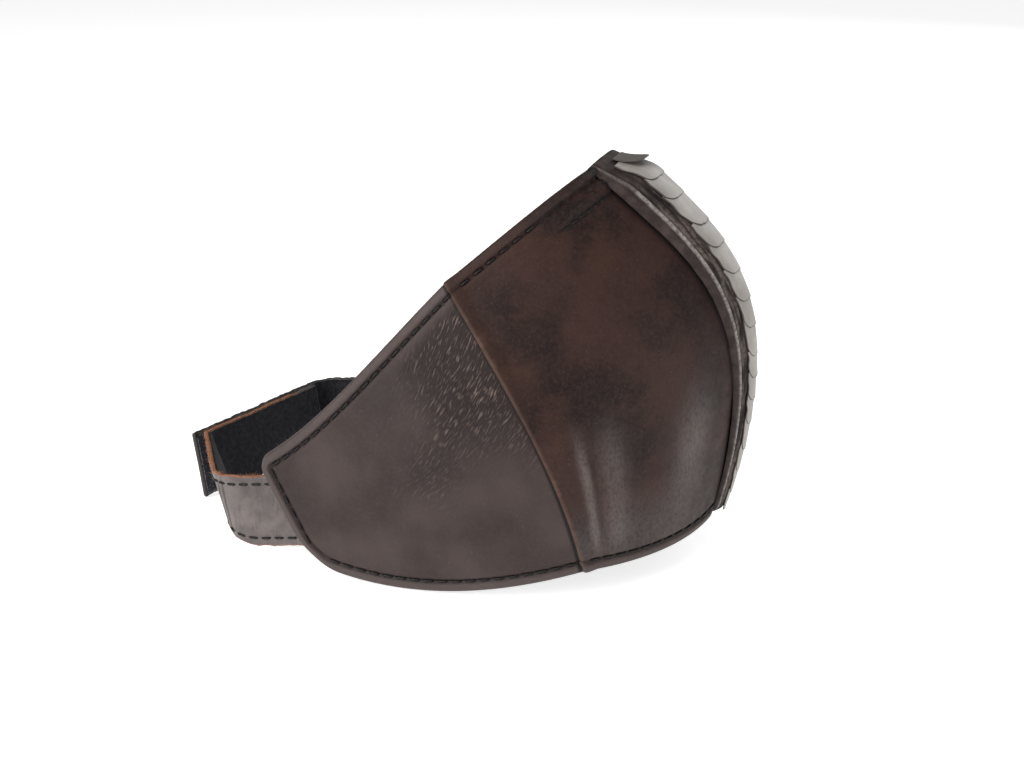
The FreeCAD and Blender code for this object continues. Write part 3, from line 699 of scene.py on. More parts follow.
def front_panel(side, side_name):
    """Front leather: wrinkled by the seam, with the nose wire's pocket along its top edge."""
    seed = 11 + side
    length_u, length_v = FRONT_SIZE
    u = graded(length_u + SEAM_LAP, 3.0, 0.28, 0.62)
    u = u * (1 + SEAM_LAP / length_u)
    v = graded(length_v, 7.0, 0.26, 0.66)

    def height(grid_u, grid_v, hem, from_top, from_bottom):
        along = grid_u * length_u
        pucker = puckers(along)
        near_strip = 1 - smooth(4.0, 9.0, along)
        plain_edge = ROLL_DEPTH * (rounded(hem / ROLL) - 1)
        h = hem_height(hem, pucker) * (1 - near_strip) + near_strip * np.minimum(plain_edge, 0)
        # folded edge over the seam
        to_seam = (1 + SEAM_LAP / length_u - grid_u) * square_length(
            front_cheek, np.ones_like(grid_u), np.clip(grid_v, 0.02, 0.98), 0)
        fold = SEAM_RISE * (1 - smooth(0.6, SEAM_FOLD, to_seam))
        h = h + fold - (1 - rounded(to_seam / 0.8)) * (SEAM_RISE + 0.75)
        # long soft wrinkles that rise from the lower end of the seam
        lean = grid_u + 0.10 * (grid_v - 0.25)
        tall = window(0.02, 0.14, 0.30, 0.50, grid_v)
        uneven_fold = 0.8 + 0.4 * lattice_noise(seed, grid_v * 14, grid_u * 2)
        wrinkle = 0.95 * bump(0.885, 0.018, lean) * tall * uneven_fold
        wrinkle -= 0.55 * bump(0.845, 0.020, lean) * tall
        wandering = lean + 0.02 * lattice_noise(seed + 3, grid_v * 9, 0 * grid_u)
        wrinkle += 0.55 * bump(0.800, 0.020, wandering) * tall
        wrinkle += 0.35 * bump(0.70, 0.025, lean) * tall * smooth(0.05, 0.2, grid_v)
        # cross wrinkles in the low front, beside the strip
        low = window(0.10, 0.22, 0.45, 0.62, grid_v) * (1 - smooth(0.25, 0.75, grid_u))
        drift = 1.3 * lattice_noise(seed + 8, grid_u * 5, grid_v * 5)
        cross = lattice_noise(seed + 7, grid_v * 38 + drift, grid_u * 3)
        wave = 0.55 * layered_noise(seed + 20, grid_u * 3.1, grid_v * 4.3, 2)
        inside = smooth(5.0, 12.0, hem) * smooth(2.0, 9.0, to_seam)
        h = h + inside * (wave + 0.10 * low * cross) + wrinkle * smooth(2.0, 6.0, hem)
        # nose wire pocket: a soft ridge over the wire, and the puckered line below it
        before_turn = 1 - smooth(POCKET_TURN - 0.01, POCKET_START, grid_u + 0.012 * (POCKET - from_top))
        in_pocket = smooth(POCKET_END - 0.14, POCKET_END - 0.06, grid_u) * before_turn
        h = h + in_pocket * (0.65 * bump(6.9, 2.2, from_top) - 0.45 * bump(POCKET, 0.7, from_top))
        over_wire = in_pocket * window(2.0, 5.0, 8.5, 10, from_top)
        h = h + 0.30 * over_wire * creased(seed + 30, along, from_top, 3.2)
        grain = layered_noise(seed + 40, grid_u * 46, grid_v * 82, 2)
        h = h + 0.05 * grain * smooth(4.6, 6.0, hem)
        uneven = layered_noise(seed + 50, grid_u * 30, grid_v * 50)
        worn = (1 - smooth(0.4, 1.5, to_seam)) * (0.75 + 0.35 * uneven)
        worn = worn + 0.30 * (1 - smooth(1.0, 3.2, to_seam)) * smooth(0.1, 0.6, uneven)
        tuft = 0.9 * bump(0.985, 0.02, grid_v) * (1 - smooth(1.0, 4.0, to_seam))
        tuft = tuft * smooth(-0.1, 0.4, uneven)
        # painted sheen: grey highlight zones along the wrinkles by the seam, along the bottom and low in
        # front beside the strip
        painted_sheen = 0.85 * bump(0.895, 0.020, lean) * tall + 0.60 * bump(0.785, 0.055, lean) * tall
        painted_sheen = painted_sheen + 0.45 * (1 - smooth(0.06, 0.26, grid_v)) * smooth(0.15, 0.5, grid_u)
        painted_sheen = painted_sheen + 0.95 * bump(0.40, 0.10, grid_u + 0.25 * (grid_v - 0.27)) * bump(0.27, 0.12, grid_v)
        # painted shade: dark in the hem's stitch groove, a painted shadow beside the strip's wall, and along
        # the pocket's stitch line
        dark = 0.62 * bump(HEM + 0.05, 0.36, hem) * (1 - near_strip)
        beside = front_cheek(grid_u, grid_v)[..., 0] - strip_half(grid_v)
        dark = np.maximum(dark, 0.85 * (1 - smooth(0.5, 2.3, beside)))
        dark = np.maximum(dark, 0.75 * in_pocket * bump(POCKET, 0.6, from_top))
        hem_tone = hem_colour(seed + 60, along, hem) * np.where(from_bottom < from_top, 0.85, 0.22)
        return h, {"worn": np.clip(np.maximum(worn, tuft), 0, 1), "hem": hem_tone, "dark": dark,
                   "painted_sheen": np.clip(painted_sheen, 0, 1)}

    def inner(grid_u, grid_v, hem):
        to_seam = (1 + SEAM_LAP / length_u - grid_u) * length_u
        tuck = 1.3 * (1 - smooth(0.5, 3.0, to_seam))
        return inner_height(hem) + tuck * smooth(0.0, 2.0, hem)

    piece = panel(f"{side_name}_front_leather", side, front_cheek, u, v, height, inner, FRONT_LEATHER,
                  ("hem",), False)
    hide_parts(f"{side_name}_front_panel")
    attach(piece, "mask")


def creased(seed, x, y, spacing):
    """Relief from -1 along the creases to 0 on the pebbles between them."""
    return -(1 - smooth(0.05, 0.55, creases(seed, x, y, spacing)))


def rear_panel(side, side_name):
    """Rear leather: smooth and finely creased beside the seam, where shade and crease highlights are
    painted.
    """
    seed = 101 + side
    length_u, length_v = REAR_SIZE
    u = graded(length_u, 7.0, 0.26, 0.55)
    v = graded(length_v + REAR_SLOPE, 7.0, 0.26, 0.50)

    def height(grid_u, grid_v, hem, from_top, from_bottom):
        along = grid_u * length_u
        pucker = puckers(along)
        h = hem_height(hem, pucker)
        inside = smooth(4.8, 9.0, hem)
        back = grid_u + 0.16 * lattice_noise(seed, grid_v * 4, grid_u * 4)
        rise = grid_v + 0.10 * lattice_noise(seed + 2, grid_u * 5, grid_v * 5)
        # zone by the seam and towards the top: painted shade, painted crease highlights and crease relief
        shaded_crease_zone = (1 - smooth(0.20, 0.47, back)) * smooth(0.34, 0.62, rise) * inside
        wave = 0.45 * layered_noise(seed + 20, grid_u * 2.7, grid_v * 2.2, 2)
        h = h + inside * wave
        h = h + 0.03 * layered_noise(seed + 40, grid_u * 60, grid_v * 46, 2) * inside
        # painted shade: dark in the hem's stitch groove, and a painted shadow line beside the seam
        dark = 0.62 * bump(HEM + 0.05, 0.36, hem)
        seam_shadow = 0.97 * (1 - smooth(1.25, 2.1, along))
        hem_tone = 0.85 * hem_colour(seed + 60, along, hem)
        x, y = along, grid_v * length_v
        warp = 0.35 * layered_noise(seed + 4, x / 6, y / 6)
        net_x = (x * math.cos(CREASE_LEAN) + y * math.sin(CREASE_LEAN) + warp) / CREASE_CELL[0]
        net_y = (y * math.cos(CREASE_LEAN) - x * math.sin(CREASE_LEAN) + warp) / CREASE_CELL[1]
        return h, {"net_x": net_x, "net_y": net_y, "shaded_crease_zone": shaded_crease_zone, "hem": hem_tone,
                   "dark": np.maximum(dark, seam_shadow)}

    piece = panel(f"{side_name}_rear_leather", side, rear_cheek, u, v, height,
                  lambda grid_u, grid_v, hem: inner_height(hem), REAR_LEATHER, ("hem",), True)
    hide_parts(f"{side_name}_rear_panel")
    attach(piece, "mask")


# ------------------------------------------------------------------ felt lining
def lining(side, side_name, which, surface, u_range, lengths):
    """Felt behind a panel, puffed between its edges, with a soft uneven surface."""
    seed = 201 + side + 10 * (which == "rear")
    u = np.linspace(*u_range, 90)
    v = np.linspace(0, 1, 110)
    grid_u, grid_v = np.meshgrid(u, v, indexing="ij")
    top = square_length(surface, grid_u, np.ones_like(grid_v), 1)
    bottom = square_length(surface, grid_u, np.zeros_like(grid_v), 1)
    edge = 0.55 + 0.18 * lattice_noise(seed, grid_u * lengths[0] / 2, 0 * grid_u)
    grid_v = grid_v * (1 - edge / top - edge / bottom) + edge / bottom
    distance = np.minimum((1 - grid_v) * top, grid_v * bottom)
    puff = 0.30 * layered_noise(seed + 3, grid_u * lengths[0] / 4, grid_v * lengths[1] / 4, 3)
    soft = rounded(distance / 2.0)
    outer = lifted(surface, grid_u, grid_v, -LEATHER - 0.75 * smooth(0.0, 2.5, distance) - 0.1 * (1 - soft))
    inner = lifted(surface, grid_u, grid_v, -LEATHER - 0.6 - (FELT - 0.2) * soft + puff * soft)
    points, faces = shell(mirrored(outer, side), mirrored(inner, side), flip=side < 0)
    piece = make_object(f"{side_name}_{which}_felt", points, faces, FELT_CLOTH)
    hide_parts(f"{side_name}_{which}_lining")
    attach(piece, "mask")


def fringe(name, material, roots, directions, length, radius, seed, body):
    """Loose fibres: thin curved hairs that start at roots and lean along directions."""
    generator = np.random.default_rng(seed)
    parts = []
    for root, direction in zip(roots, directions):
        reach = length * (0.35 + 0.9 * generator.random())
        lean = direction + 0.55 * generator.normal(size=3)
        bend = 0.35 * generator.normal(size=3) * reach
        steps = np.linspace(0, 1, 5)[:, None]
        centres = root + unit(lean) * reach * steps + bend * steps**2
        parts.append(tube(centres, radius * (1 - 0.75 * steps[:, 0]), 3))
    points, faces = join_parts(parts)
    piece = make_object(name, points, faces, material)
    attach(piece, body)


def lining_fringe(side, side_name):
    """Felt fibres that show past the top hem."""
    generator = np.random.default_rng(300 + side)
    roots, directions = [], []
    for surface, count, low, high in ((rear_cheek, 620, 0.0, 0.92), (front_cheek, 180, 0.45, 1.0)):
        u = generator.uniform(low, high, count)
        v = np.ones(count)
        base = lifted(surface, u, v, np.full(count, -LEATHER - 0.6 - 1.2 * generator.random(count)))
        _, along_v = tangents(surface, u, v)
        roots.append(mirrored(base - unit(along_v) * 0.6, side))
        directions.append(unit(along_v) * np.array([side, 1, 1]))
    fringe(f"{side_name}_felt_fibres", BLACK_FIBRE, np.concatenate(roots), np.concatenate(directions),
           1.15, 0.05, 310 + side, "mask")


# ------------------------------------------------------------------ stitches
HEM_EDGES = {"top": (1, 1), "bottom": (1, 0), "rear": (0, 1)}   # axis across the edge, its value there


def hem_place(surface, along, edge, offset, steps=5):
    """u and v at an offset square to one edge of a panel, walked in over the surface."""
    crossing, start = HEM_EDGES[edge]
    place = [along, float(start)] if crossing else [float(start), along]
    inward = -1 if start == 1 else 1
    for _ in range(steps):
        both = tangents(surface, *place)
        across, line = both[crossing], both[1 - crossing]
        slant = float(dot(across, line) / dot(line, line))
        share = inward * offset / steps / float(np.linalg.norm(across - line * slant))
        place[crossing] += share
        place[1 - crossing] -= share * slant
    return place


def stitch_tube(start, end, outward, length, thread):
    """One stitch of two-ply thread, its ends turned down into the leather."""
    middle, ahead = (start + end) / 2, unit(end - start)
    share = np.linspace(-1, 1, 11)
    dive = -0.55 * np.abs(share) ** 5
    centres = middle + ahead * (share * length / 2)[:, None] + outward * dive[:, None]
    radii = thread / 2 * (1 - 0.35 * np.abs(share) ** 6)
    return tube(centres, radii, 10, twist=0.75, ply=0.13)


ROUTE_STEPS = 160               # samples along a row of stitches


def stitch_parts(route, spacing=STITCH_PITCH, length=STITCH_LENGTH, thread=THREAD):
    """Stitches along a route, a function of 0 to 1 that gives a point and a normal."""
    samples = [route(i / ROUTE_STEPS) for i in range(ROUTE_STEPS + 1)]
    points = np.array([point for point, _ in samples])
    normals = np.array([normal for _, normal in samples])
    reach = np.concatenate([[0], np.cumsum(np.linalg.norm(np.diff(points, axis=0), axis=1))])
    count = int(reach[-1] / spacing)
    pitch = reach[-1] / count

    def at(distance, values):
        return np.array([np.interp(distance, reach, values[:, axis]) for axis in range(3)])

    parts = []
    for i in range(count):
        middle = (i + 0.5) * pitch
        start, end = at(middle - pitch * 0.4, points), at(middle + pitch * 0.4, points)
        parts.append(stitch_tube(start, end, unit(at(middle, normals)), length, thread))
    return parts


def hem_stitches(side, side_name):
    """Rows of stitches along the hems and round the nose wire's pocket."""
    def row(surface, edge, first, last, offset=HEM, last_offset=HEM, sunk=0.0, **stitch):
        def route(part):
            reach = offset + (last_offset - offset) * part
            u, v = hem_place(surface, first + (last - first) * part, edge, reach)
            along_u, along_v = tangents(surface, u, v)
            normal = unit(np.cross(along_u, along_v))
            point = surface(u, v) + normal * (0.05 - sunk)
            return mirrored(point, side), normal * np.array([side, 1, 1])
        return stitch_parts(route, **stitch)

    pocket = {"sunk": 0.15, "spacing": 2.9, "length": 2.0, "thread": 0.6}

    rows = {
        f"{side_name}_front_hem_stitches":
            row(front_cheek, "top", POCKET_START, 0.985) + row(front_cheek, "bottom", 0.085, 0.985),
        f"{side_name}_rear_hem_stitches":
            row(rear_cheek, "top", 0.012, 0.945) + row(rear_cheek, "bottom", 0.012, 0.925)
            + row(rear_cheek, "rear", 0.13, 0.885),
        f"{side_name}_wire_pocket_stitches":
            row(front_cheek, "top", POCKET_START, POCKET_TURN, HEM, POCKET, **pocket)
            + row(front_cheek, "top", POCKET_TURN, POCKET_END, POCKET, POCKET, **pocket),
    }
    for node, parts in rows.items():
        points, faces = join_parts(parts)
        piece = make_object(node.replace("_stitches", "_thread"), points, faces, THREAD_FINISH)
        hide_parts(node)
        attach(piece, "mask")


# ------------------------------------------------------------------ centre strip
def strip_frame(t):
    """Points on the centre line, chin 0 to nose 1, with the outward and the forward directions."""
    t = np.asarray(t, float)
    held = np.minimum(t, 1.0)
    point = bezier(CENTRE_EDGE, t)
    ahead = unit(bezier(CENTRE_EDGE, held + STEP) - bezier(CENTRE_EDGE, held - STEP))
    return point, np.stack([np.zeros_like(t), -ahead[..., 2], ahead[..., 1]], -1), ahead


def panel_level(t, x):
    """How far outward of the centre line the left cheek lies, a distance x to the side of it."""
    point, outward, ahead = strip_frame(t)
    u, v = x / tangents(front_cheek, 0.0, t)[0][..., 0], t
    for _ in range(5):
        here = front_cheek(u, v)
        along_u, along_v = tangents(front_cheek, u, v)
        off_x, off_ahead = x - here[..., 0], dot(point - here, ahead)
        ux, vx = along_u[..., 0], along_v[..., 0]
        ua, va = dot(along_u, ahead), dot(along_v, ahead)
        turn = ux * va - vx * ua
        u = u + (off_x * va - vx * off_ahead) / turn
        v = v + (ux * off_ahead - ua * off_x) / turn
    return dot(front_cheek(u, v) - point, outward)


def strip_half(t):
    return STRIP_HALF[0] + (STRIP_HALF[1] - STRIP_HALF[0]) * np.minimum(t, 1.0)


def strip_rise(t):
    """Height of the strip, rolled down at both ends."""
    rise = STRIP_RISE[0] + (STRIP_RISE[1] - STRIP_RISE[0]) * np.minimum(t, 1.0)
    nose = 1 - 0.72 * smooth(0.915, 1.0, t)
    return rise * nose


PIPING = 0.90                   # middle of the rolled edge, as a share of the strip's half width
PIPING_SHARE = 0.42             # its height as a share of the strip's


def strip_section(q):
    """Height share across the strip: a rolled edge on each side and a broad crown between."""
    reach = np.abs(q)
    crown = 1 - (1 - PIPING_SHARE) * np.clip(reach / PIPING, 0, 1) ** 5
    roll = PIPING_SHARE * np.sqrt(np.clip(1 - ((reach - PIPING) / (1 - PIPING)) ** 2, 0, 1))
    return np.where(reach > PIPING, roll, crown)


def strip_point(t, q, height):
    """Points on the strip: q runs from -1, the right edge, to 1; height is above the panels."""
    point, outward, _ = strip_frame(t)
    x = q * strip_half(t)
    level = panel_level(t, np.abs(x)) + height
    return point + outward * level[..., None] + np.stack([x, 0 * x, 0 * x], -1) + ORIGIN_SHIFT


SCALE_EDGE = 0.67               # half width of the belly scales, as a share of the strip's
RIM_AT = 0.875                  # the pale worn ridge on the rolled edge
STRIP_LENGTH = 118.0            # along the centre line


def strip_body():
    """Rolled walls, pale rims and wrinkled skin of the strip, closed underneath."""
    seed = 401
    t = np.concatenate([np.linspace(-0.006, 0.95, 300), np.linspace(0.952, STRIP_END, 60)])
    angle = np.linspace(0, math.pi, 121)
    across = np.cos(angle)
    grid_t, grid_q = np.meshgrid(t, across, indexing="ij")
    reach = np.abs(grid_q)
    arc = grid_t * STRIP_LENGTH
    # rounded ends
    nose_end = np.clip((grid_t - 0.97) / (STRIP_END - 0.97), 0, 1)
    chin_end = np.clip((0.020 - grid_t) / 0.026, 0, 1)
    round_off = np.sqrt(1 - nose_end**2) * np.sqrt(1 - chin_end**2)
    rise = strip_rise(grid_t)
    height = 0.15 + rise * strip_section(grid_q)
    size = strip_half(grid_t) / STRIP_HALF[1]
    skin = window(SCALE_EDGE - 0.10, SCALE_EDGE - 0.02, RIM_AT - 0.06, RIM_AT - 0.03, reach)
    rim = bump(RIM_AT, 0.024, reach)
    run = (reach - SCALE_EDGE) * strip_half(grid_t)
    drift = 0.5 * layered_noise(seed, arc / 9, grid_q * 3, 2)
    drift = drift + 0.25 * layered_noise(seed + 3, arc / 3, grid_q * 9, 2)
    folds = layered_noise(seed + 6, (run + drift) / 0.46, arc / 7 + 40 * (grid_q > 0), 2)
    height = height + skin * (0.38 * folds - 0.30) * size
    height = height + rim * (0.34 + 0.10 * lattice_noise(seed + 9, arc / 0.8, grid_q)) * size
    height = height - 0.35 * bump(RIM_AT - 0.050, 0.018, reach) * size
    height = height - 0.40 * size * (1 - smooth(SCALE_EDGE - 0.06, SCALE_EDGE, reach))
    wall = smooth(RIM_AT + 0.02, RIM_AT + 0.06, reach)
    height = height + wall * 0.10 * layered_noise(seed + 12, arc / 5, grid_q * 4, 2)
    height = height * round_off
    points = strip_point(grid_t, grid_q, height)
    under = strip_point(grid_t, grid_q * 0.96, np.full(grid_t.shape, 0.05))
    shell_points, faces = shell(points, under, flip=False)
    zeros = np.zeros(points.shape[0] * points.shape[1])
    middle = 1 - smooth(SCALE_EDGE - 0.02, SCALE_EDGE, reach)
    ends = 1 - smooth(0.90, 0.93, grid_t)
    attributes = {
        "skin": np.concatenate([(np.maximum(skin, middle) * ends).ravel(), zeros]),
        "rim": np.concatenate([(np.clip(rim * 1.2, 0, 1) * (0.35 + 0.65 * ends)).ravel(), zeros]),
        # fold: low in the wrinkles' troughs, where the skin is painted darker as shade
        "fold": np.concatenate([smooth(-0.45, 0.25, folds).ravel(), zeros]),
    }
    piece = make_object("centre_strip_edges", shell_points, faces, STRIP_SKIN, attributes)
    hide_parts("centre_strip_skin")
    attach(piece, "mask")


def strip_filler():
    """Soft core inside the strip, which gives it its crown."""
    along, across = np.linspace(0.02, 0.965, 90), np.linspace(-0.80, 0.80, 41)
    core_t, core_q = np.meshgrid(along, across, indexing="ij")
    depth = 0.75 * strip_half(core_t) / STRIP_HALF[1]
    top = strip_point(core_t, core_q, 0.15 + strip_rise(core_t) * strip_section(core_q) - depth - 0.35)
    base = strip_point(core_t, core_q, np.full(core_t.shape, 0.20))
    points, faces = shell(top, base)
    piece = make_object("strip_filler", points, faces, FELT_CLOTH)
    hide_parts("strip_core")
    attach(piece, "mask")


SCALE_COUNT = 15
TOP_SCALE = 15.5                # from the strip's upper end to the first scale's free edge
SCALE_PITCH = (9.9, 8.0)        # between free edges, below that and at the chin
OVERLAP = 1.34                  # a scale's length as a share of its pitch
LIFTED_SCALE = (2.0, 9.0, 2.0, 0.40)    # the top one: root and edge below the end, lift, half width
SCALE_ROWS, SCALE_COLUMNS = 26, 37


def belly_scales():
    """One column of wide overlapping scales, each a thin plate with a rounded free edge."""
    generator = np.random.default_rng(77)
    shares = np.linspace(0, 1, 400)
    line = bezier(CENTRE_EDGE, shares)
    reach = np.concatenate([[0], np.cumsum(np.linalg.norm(np.diff(line, axis=0), axis=1))])
    pitches = np.linspace(*SCALE_PITCH, SCALE_COUNT) * (1 + 0.09 * generator.normal(size=SCALE_COUNT))
    pitches *= (reach[-1] - TOP_SCALE) / pitches[1:].sum()
    edges = reach[-1] - TOP_SCALE - np.concatenate([[0], np.cumsum(pitches[1:])])
    roots = np.minimum(edges + pitches * OVERLAP, reach[-1] - 4.0)
    plates = [(root, edge, 0.0, SCALE_EDGE) for root, edge in zip(roots, edges)]
    root, edge, raised, width = LIFTED_SCALE
    plates.insert(0, (reach[-1] - root, reach[-1] - edge, raised, width))
    parts, rims, under_shade = [], [], []
    for index, (root, edge, raised, width) in enumerate(plates):
        lift = 0.34 + 0.22 * generator.random()
        curl = 0.26 * generator.random()
        corner = 0.75 * np.abs(generator.normal(size=2))
        tilt = 0.30 * generator.normal()
        shape = 0.22 + 0.08 * generator.random()
        length = root - edge
        rows, columns = np.linspace(0, 1, SCALE_ROWS), np.linspace(-1, 1, SCALE_COLUMNS)
        along, side = np.meshgrid(rows, columns, indexing="ij")
        ragged = 0.022 * layered_noise(500 + index, side * 6, 0 * side, 2)
        free = 1 - shape * np.abs(side) ** 5.5 + ragged + 0.05 * tilt * side
        distance = along * length * free
        share = distance / length
        t = np.interp(root - distance, reach, shares)
        q = side * width * (1 + 0.05 * lattice_noise(520 + index, along * 3, np.sign(side)) - 0.03 * along)
        size = strip_half(t) / STRIP_HALF[1]
        base = 0.15 + strip_rise(t) * strip_section(q)
        crown = 1 - 0.55 * np.abs(side) ** 3
        rise = (lift * share**1.3 * crown + curl * share**7) * size + raised * share**1.2
        rise = rise + size * np.where(side > 0, corner[0], corner[1]) * np.abs(side) ** 10 * share**5
        thickness = 0.34 * (0.6 + 0.4 * size)
        top = strip_point(t, q, base + rise + thickness)
        low = strip_point(t, q, base + rise - 0.05 * size)
        parts.append(shell(top, low, flip=True))
        edge_gap = (1 - along) * length * free
        side_gap = (1 - np.abs(side)) * width * strip_half(t)
        rim = 1 - smooth(0.10, 0.38, np.minimum(edge_gap, side_gap + 0.05))
        rims += [rim.ravel(), rim.ravel()]
        # painted shade: full on each underside, 0.75 on the lifted top scale's upper face
        under_shade += [np.full(rim.size, 0.75 if raised else 0.0), np.ones(rim.size)]
    points, faces = join_parts(parts)
    piece = make_object("belly_scales", points, faces, SCALE,
                        {"rim": np.concatenate(rims), "under": np.concatenate(under_shade)})
    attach(piece, "mask")


# ------------------------------------------------------------------ straps
HINGE = {name: np.array(JOINTS[f"{name}_strap_bend"]["pos_m"]) / MM for name in SIDES}
LOOP_UP = -np.array(JOINTS["left_strap_bend"]["axis"])
LOOP_BACK = np.array([0.0, LOOP_UP[2], -LOOP_UP[1]])
LOOP_BASE = (HINGE["left"] - LOOP_BACK * HINGE_BACK - LOOP_UP * STRAP_WIDTH / 2) * np.array([0, 1, 1])


def bent_path(path, spacing=0.5):
    """Evenly spaced points (x, back) along straight runs joined by arcs of the given radii."""
    points = [np.array(place[:2], float) for place in path]
    fine = [points[0]]
    for i in range(1, len(points) - 1):
        before, after = unit(points[i] - points[i - 1]), unit(points[i + 1] - points[i])
        turn = math.acos(float(np.clip(dot(before, after), -1, 1)))
        radius = path[i][2]
        reach = radius * math.tan(turn / 2)
        start = points[i] - before * reach
        sign = 1 if before[0] * after[1] - before[1] * after[0] > 0 else -1
        normal = sign * np.array([-before[1], before[0]])
        centre = start + normal * radius
        for angle in np.linspace(0, turn, 24):
            fine.append(centre - normal * radius * math.cos(angle) + before * radius * math.sin(angle))
    fine.append(points[-1])
    fine = np.array(fine)
    reach = np.concatenate([[0], np.cumsum(np.linalg.norm(np.diff(fine, axis=0), axis=1))])
    places = np.linspace(0, reach[-1], round(reach[-1] / spacing) + 1)
    return np.stack([np.interp(places, reach, fine[:, axis]) for axis in range(2)], -1), places


def left_path():
    """The left strap's route: up from its hinge, then along the outside of the right strap's end."""
    start, end = np.array(RIGHT_PATH[-2][:2]), np.array(RIGHT_PATH[-1][:2])
    along = unit(end - start)
    outward = np.array([-along[1], along[0]])
    tip = start + outward * STACK - along * LEFT_FLAP
    hinge, corner = (np.array(place[:2]) for place in LEFT_START)
    rise = unit(corner - hinge)
    gap = tip - hinge
    reach = (gap[0] * along[1] - gap[1] * along[0]) / (rise[0] * along[1] - rise[1] * along[0])
    meet = hinge + rise * reach
    return [LEFT_START[0], (meet[0], meet[1], LEFT_START[1][2]), (tip[0], tip[1], 0.0)]


PATHS = {"right": RIGHT_PATH, "left": left_path()}
INWARD = {"right": 1, "left": -1}


def strap_line(name, first=-math.inf, last=math.inf):
    """The strap's outer face from inside the hem to its end: places, points, inner normals."""
    hinge_x, hinge_back, _ = PATHS[name][0]
    root = (hinge_x - INWARD[name] * ROOT_SPREAD, hinge_back - STRAP_ROOT, 0.0)
    points, places = bent_path([root, (hinge_x, hinge_back, ROOT_BEND), *PATHS[name][1:]])
    ahead = unit(np.gradient(points, axis=0))
    normals = np.stack([ahead[:, 1], -ahead[:, 0]], -1) * INWARD[name]
    places = places - STRAP_ROOT
    keep = (places >= first) & (places <= last)
    return places[keep], points[keep], normals[keep]


def loop_point(plan, level):
    """Row-frame points from the loop plane's (x, back) and the height across the strap."""
    return (LOOP_BASE + plan[..., :1] * np.array([1.0, 0, 0]) + plan[..., 1:] * LOOP_BACK
            + np.asarray(level)[..., None] * LOOP_UP)


def lean(name, places, level):
    """The near strap's lower edge is drawn inward behind the bend; the free runs stay upright."""
    if name != "right":
        return np.zeros(np.broadcast(places, level).shape)
    amount = 4.2 * window(2.0, 22.0, 52.0, 66.0, places)
    return amount * (1 - level / STRAP_WIDTH)


FOLDS = {"right": (6.8, 9.0, 12.2), "left": (9.0,)}    # places of the creases at the bends


def fold_lines(name, places, level):
    """1 along the creases that cross the strap at its bend, 0 away from them."""
    slant = 0.9 * np.sin(level / STRAP_WIDTH * 2.6) + 0.4 * lattice_noise(640, level / 3, places / 9)
    lines = 0.0
    for number, place in enumerate(FOLDS[name]):
        lines = np.maximum(lines, bump(place + slant * (1 + 0.4 * number), 0.34, places))
    return lines * smooth(1.0, 3.5, level) * (1 - 0.6 * smooth(17.0, 21.0, level))


def ripple(name, places, level):
    """How far the strap's surface is pushed inward of its smooth path, in millimetres."""
    wave = layered_noise(640 + INWARD[name], places / 8, level / 11, 2)
    return lean(name, places, level) - 0.16 * wave * smooth(0.0, 10.0, places)


def raised(name, places, level):
    """How far the near strap's lower edge rises behind the bend."""
    if name != "right":
        return np.zeros(np.broadcast(places, level).shape)
    amount = 5.2 * window(-3.0, 17.0, 50.0, 66.0, places)
    return amount * np.clip(1 - level / 14.0, 0, 1) ** 1.5


def strap_band(name, first, last, outer, inner, low, high, columns=40, ragged=0.0, grooves=0.0):
    """A band along a strap between two depths from its outer face and two levels across it."""
    places, plan, normals = strap_line(name, first, last)
    levels = low + (high - low) * (0.5 - 0.5 * np.cos(np.linspace(0, math.pi, columns)))
    grid_s, grid_l = np.meshgrid(places, levels, indexing="ij")
    uneven = ragged * layered_noise(670, grid_s / 2.5, np.sign(grid_l - STRAP_WIDTH / 2), 3)
    level = grid_l + uneven * np.abs((grid_l - (low + high) / 2) / ((high - low) / 2)) ** 6
    level = level + raised(name, grid_s, grid_l)
    edge = np.minimum(grid_l - low, high - grid_l)
    soft = 0.22 * (1 - smooth(0.0, 0.8, edge))
    pushed = ripple(name, grid_s, level)
    groove = grooves * fold_lines(name, grid_s, grid_l)
    outside, inside = (
        loop_point(plan[:, None] + normals[:, None] * offset[..., None], level)
        for offset in (outer + soft + pushed + groove, inner - soft + pushed))
    points, faces = shell(outside, inside, flip=INWARD[name] > 0)
    return points, faces, grid_s, grid_l


def strap_end(name):
    return strap_line(name)[0][-1]


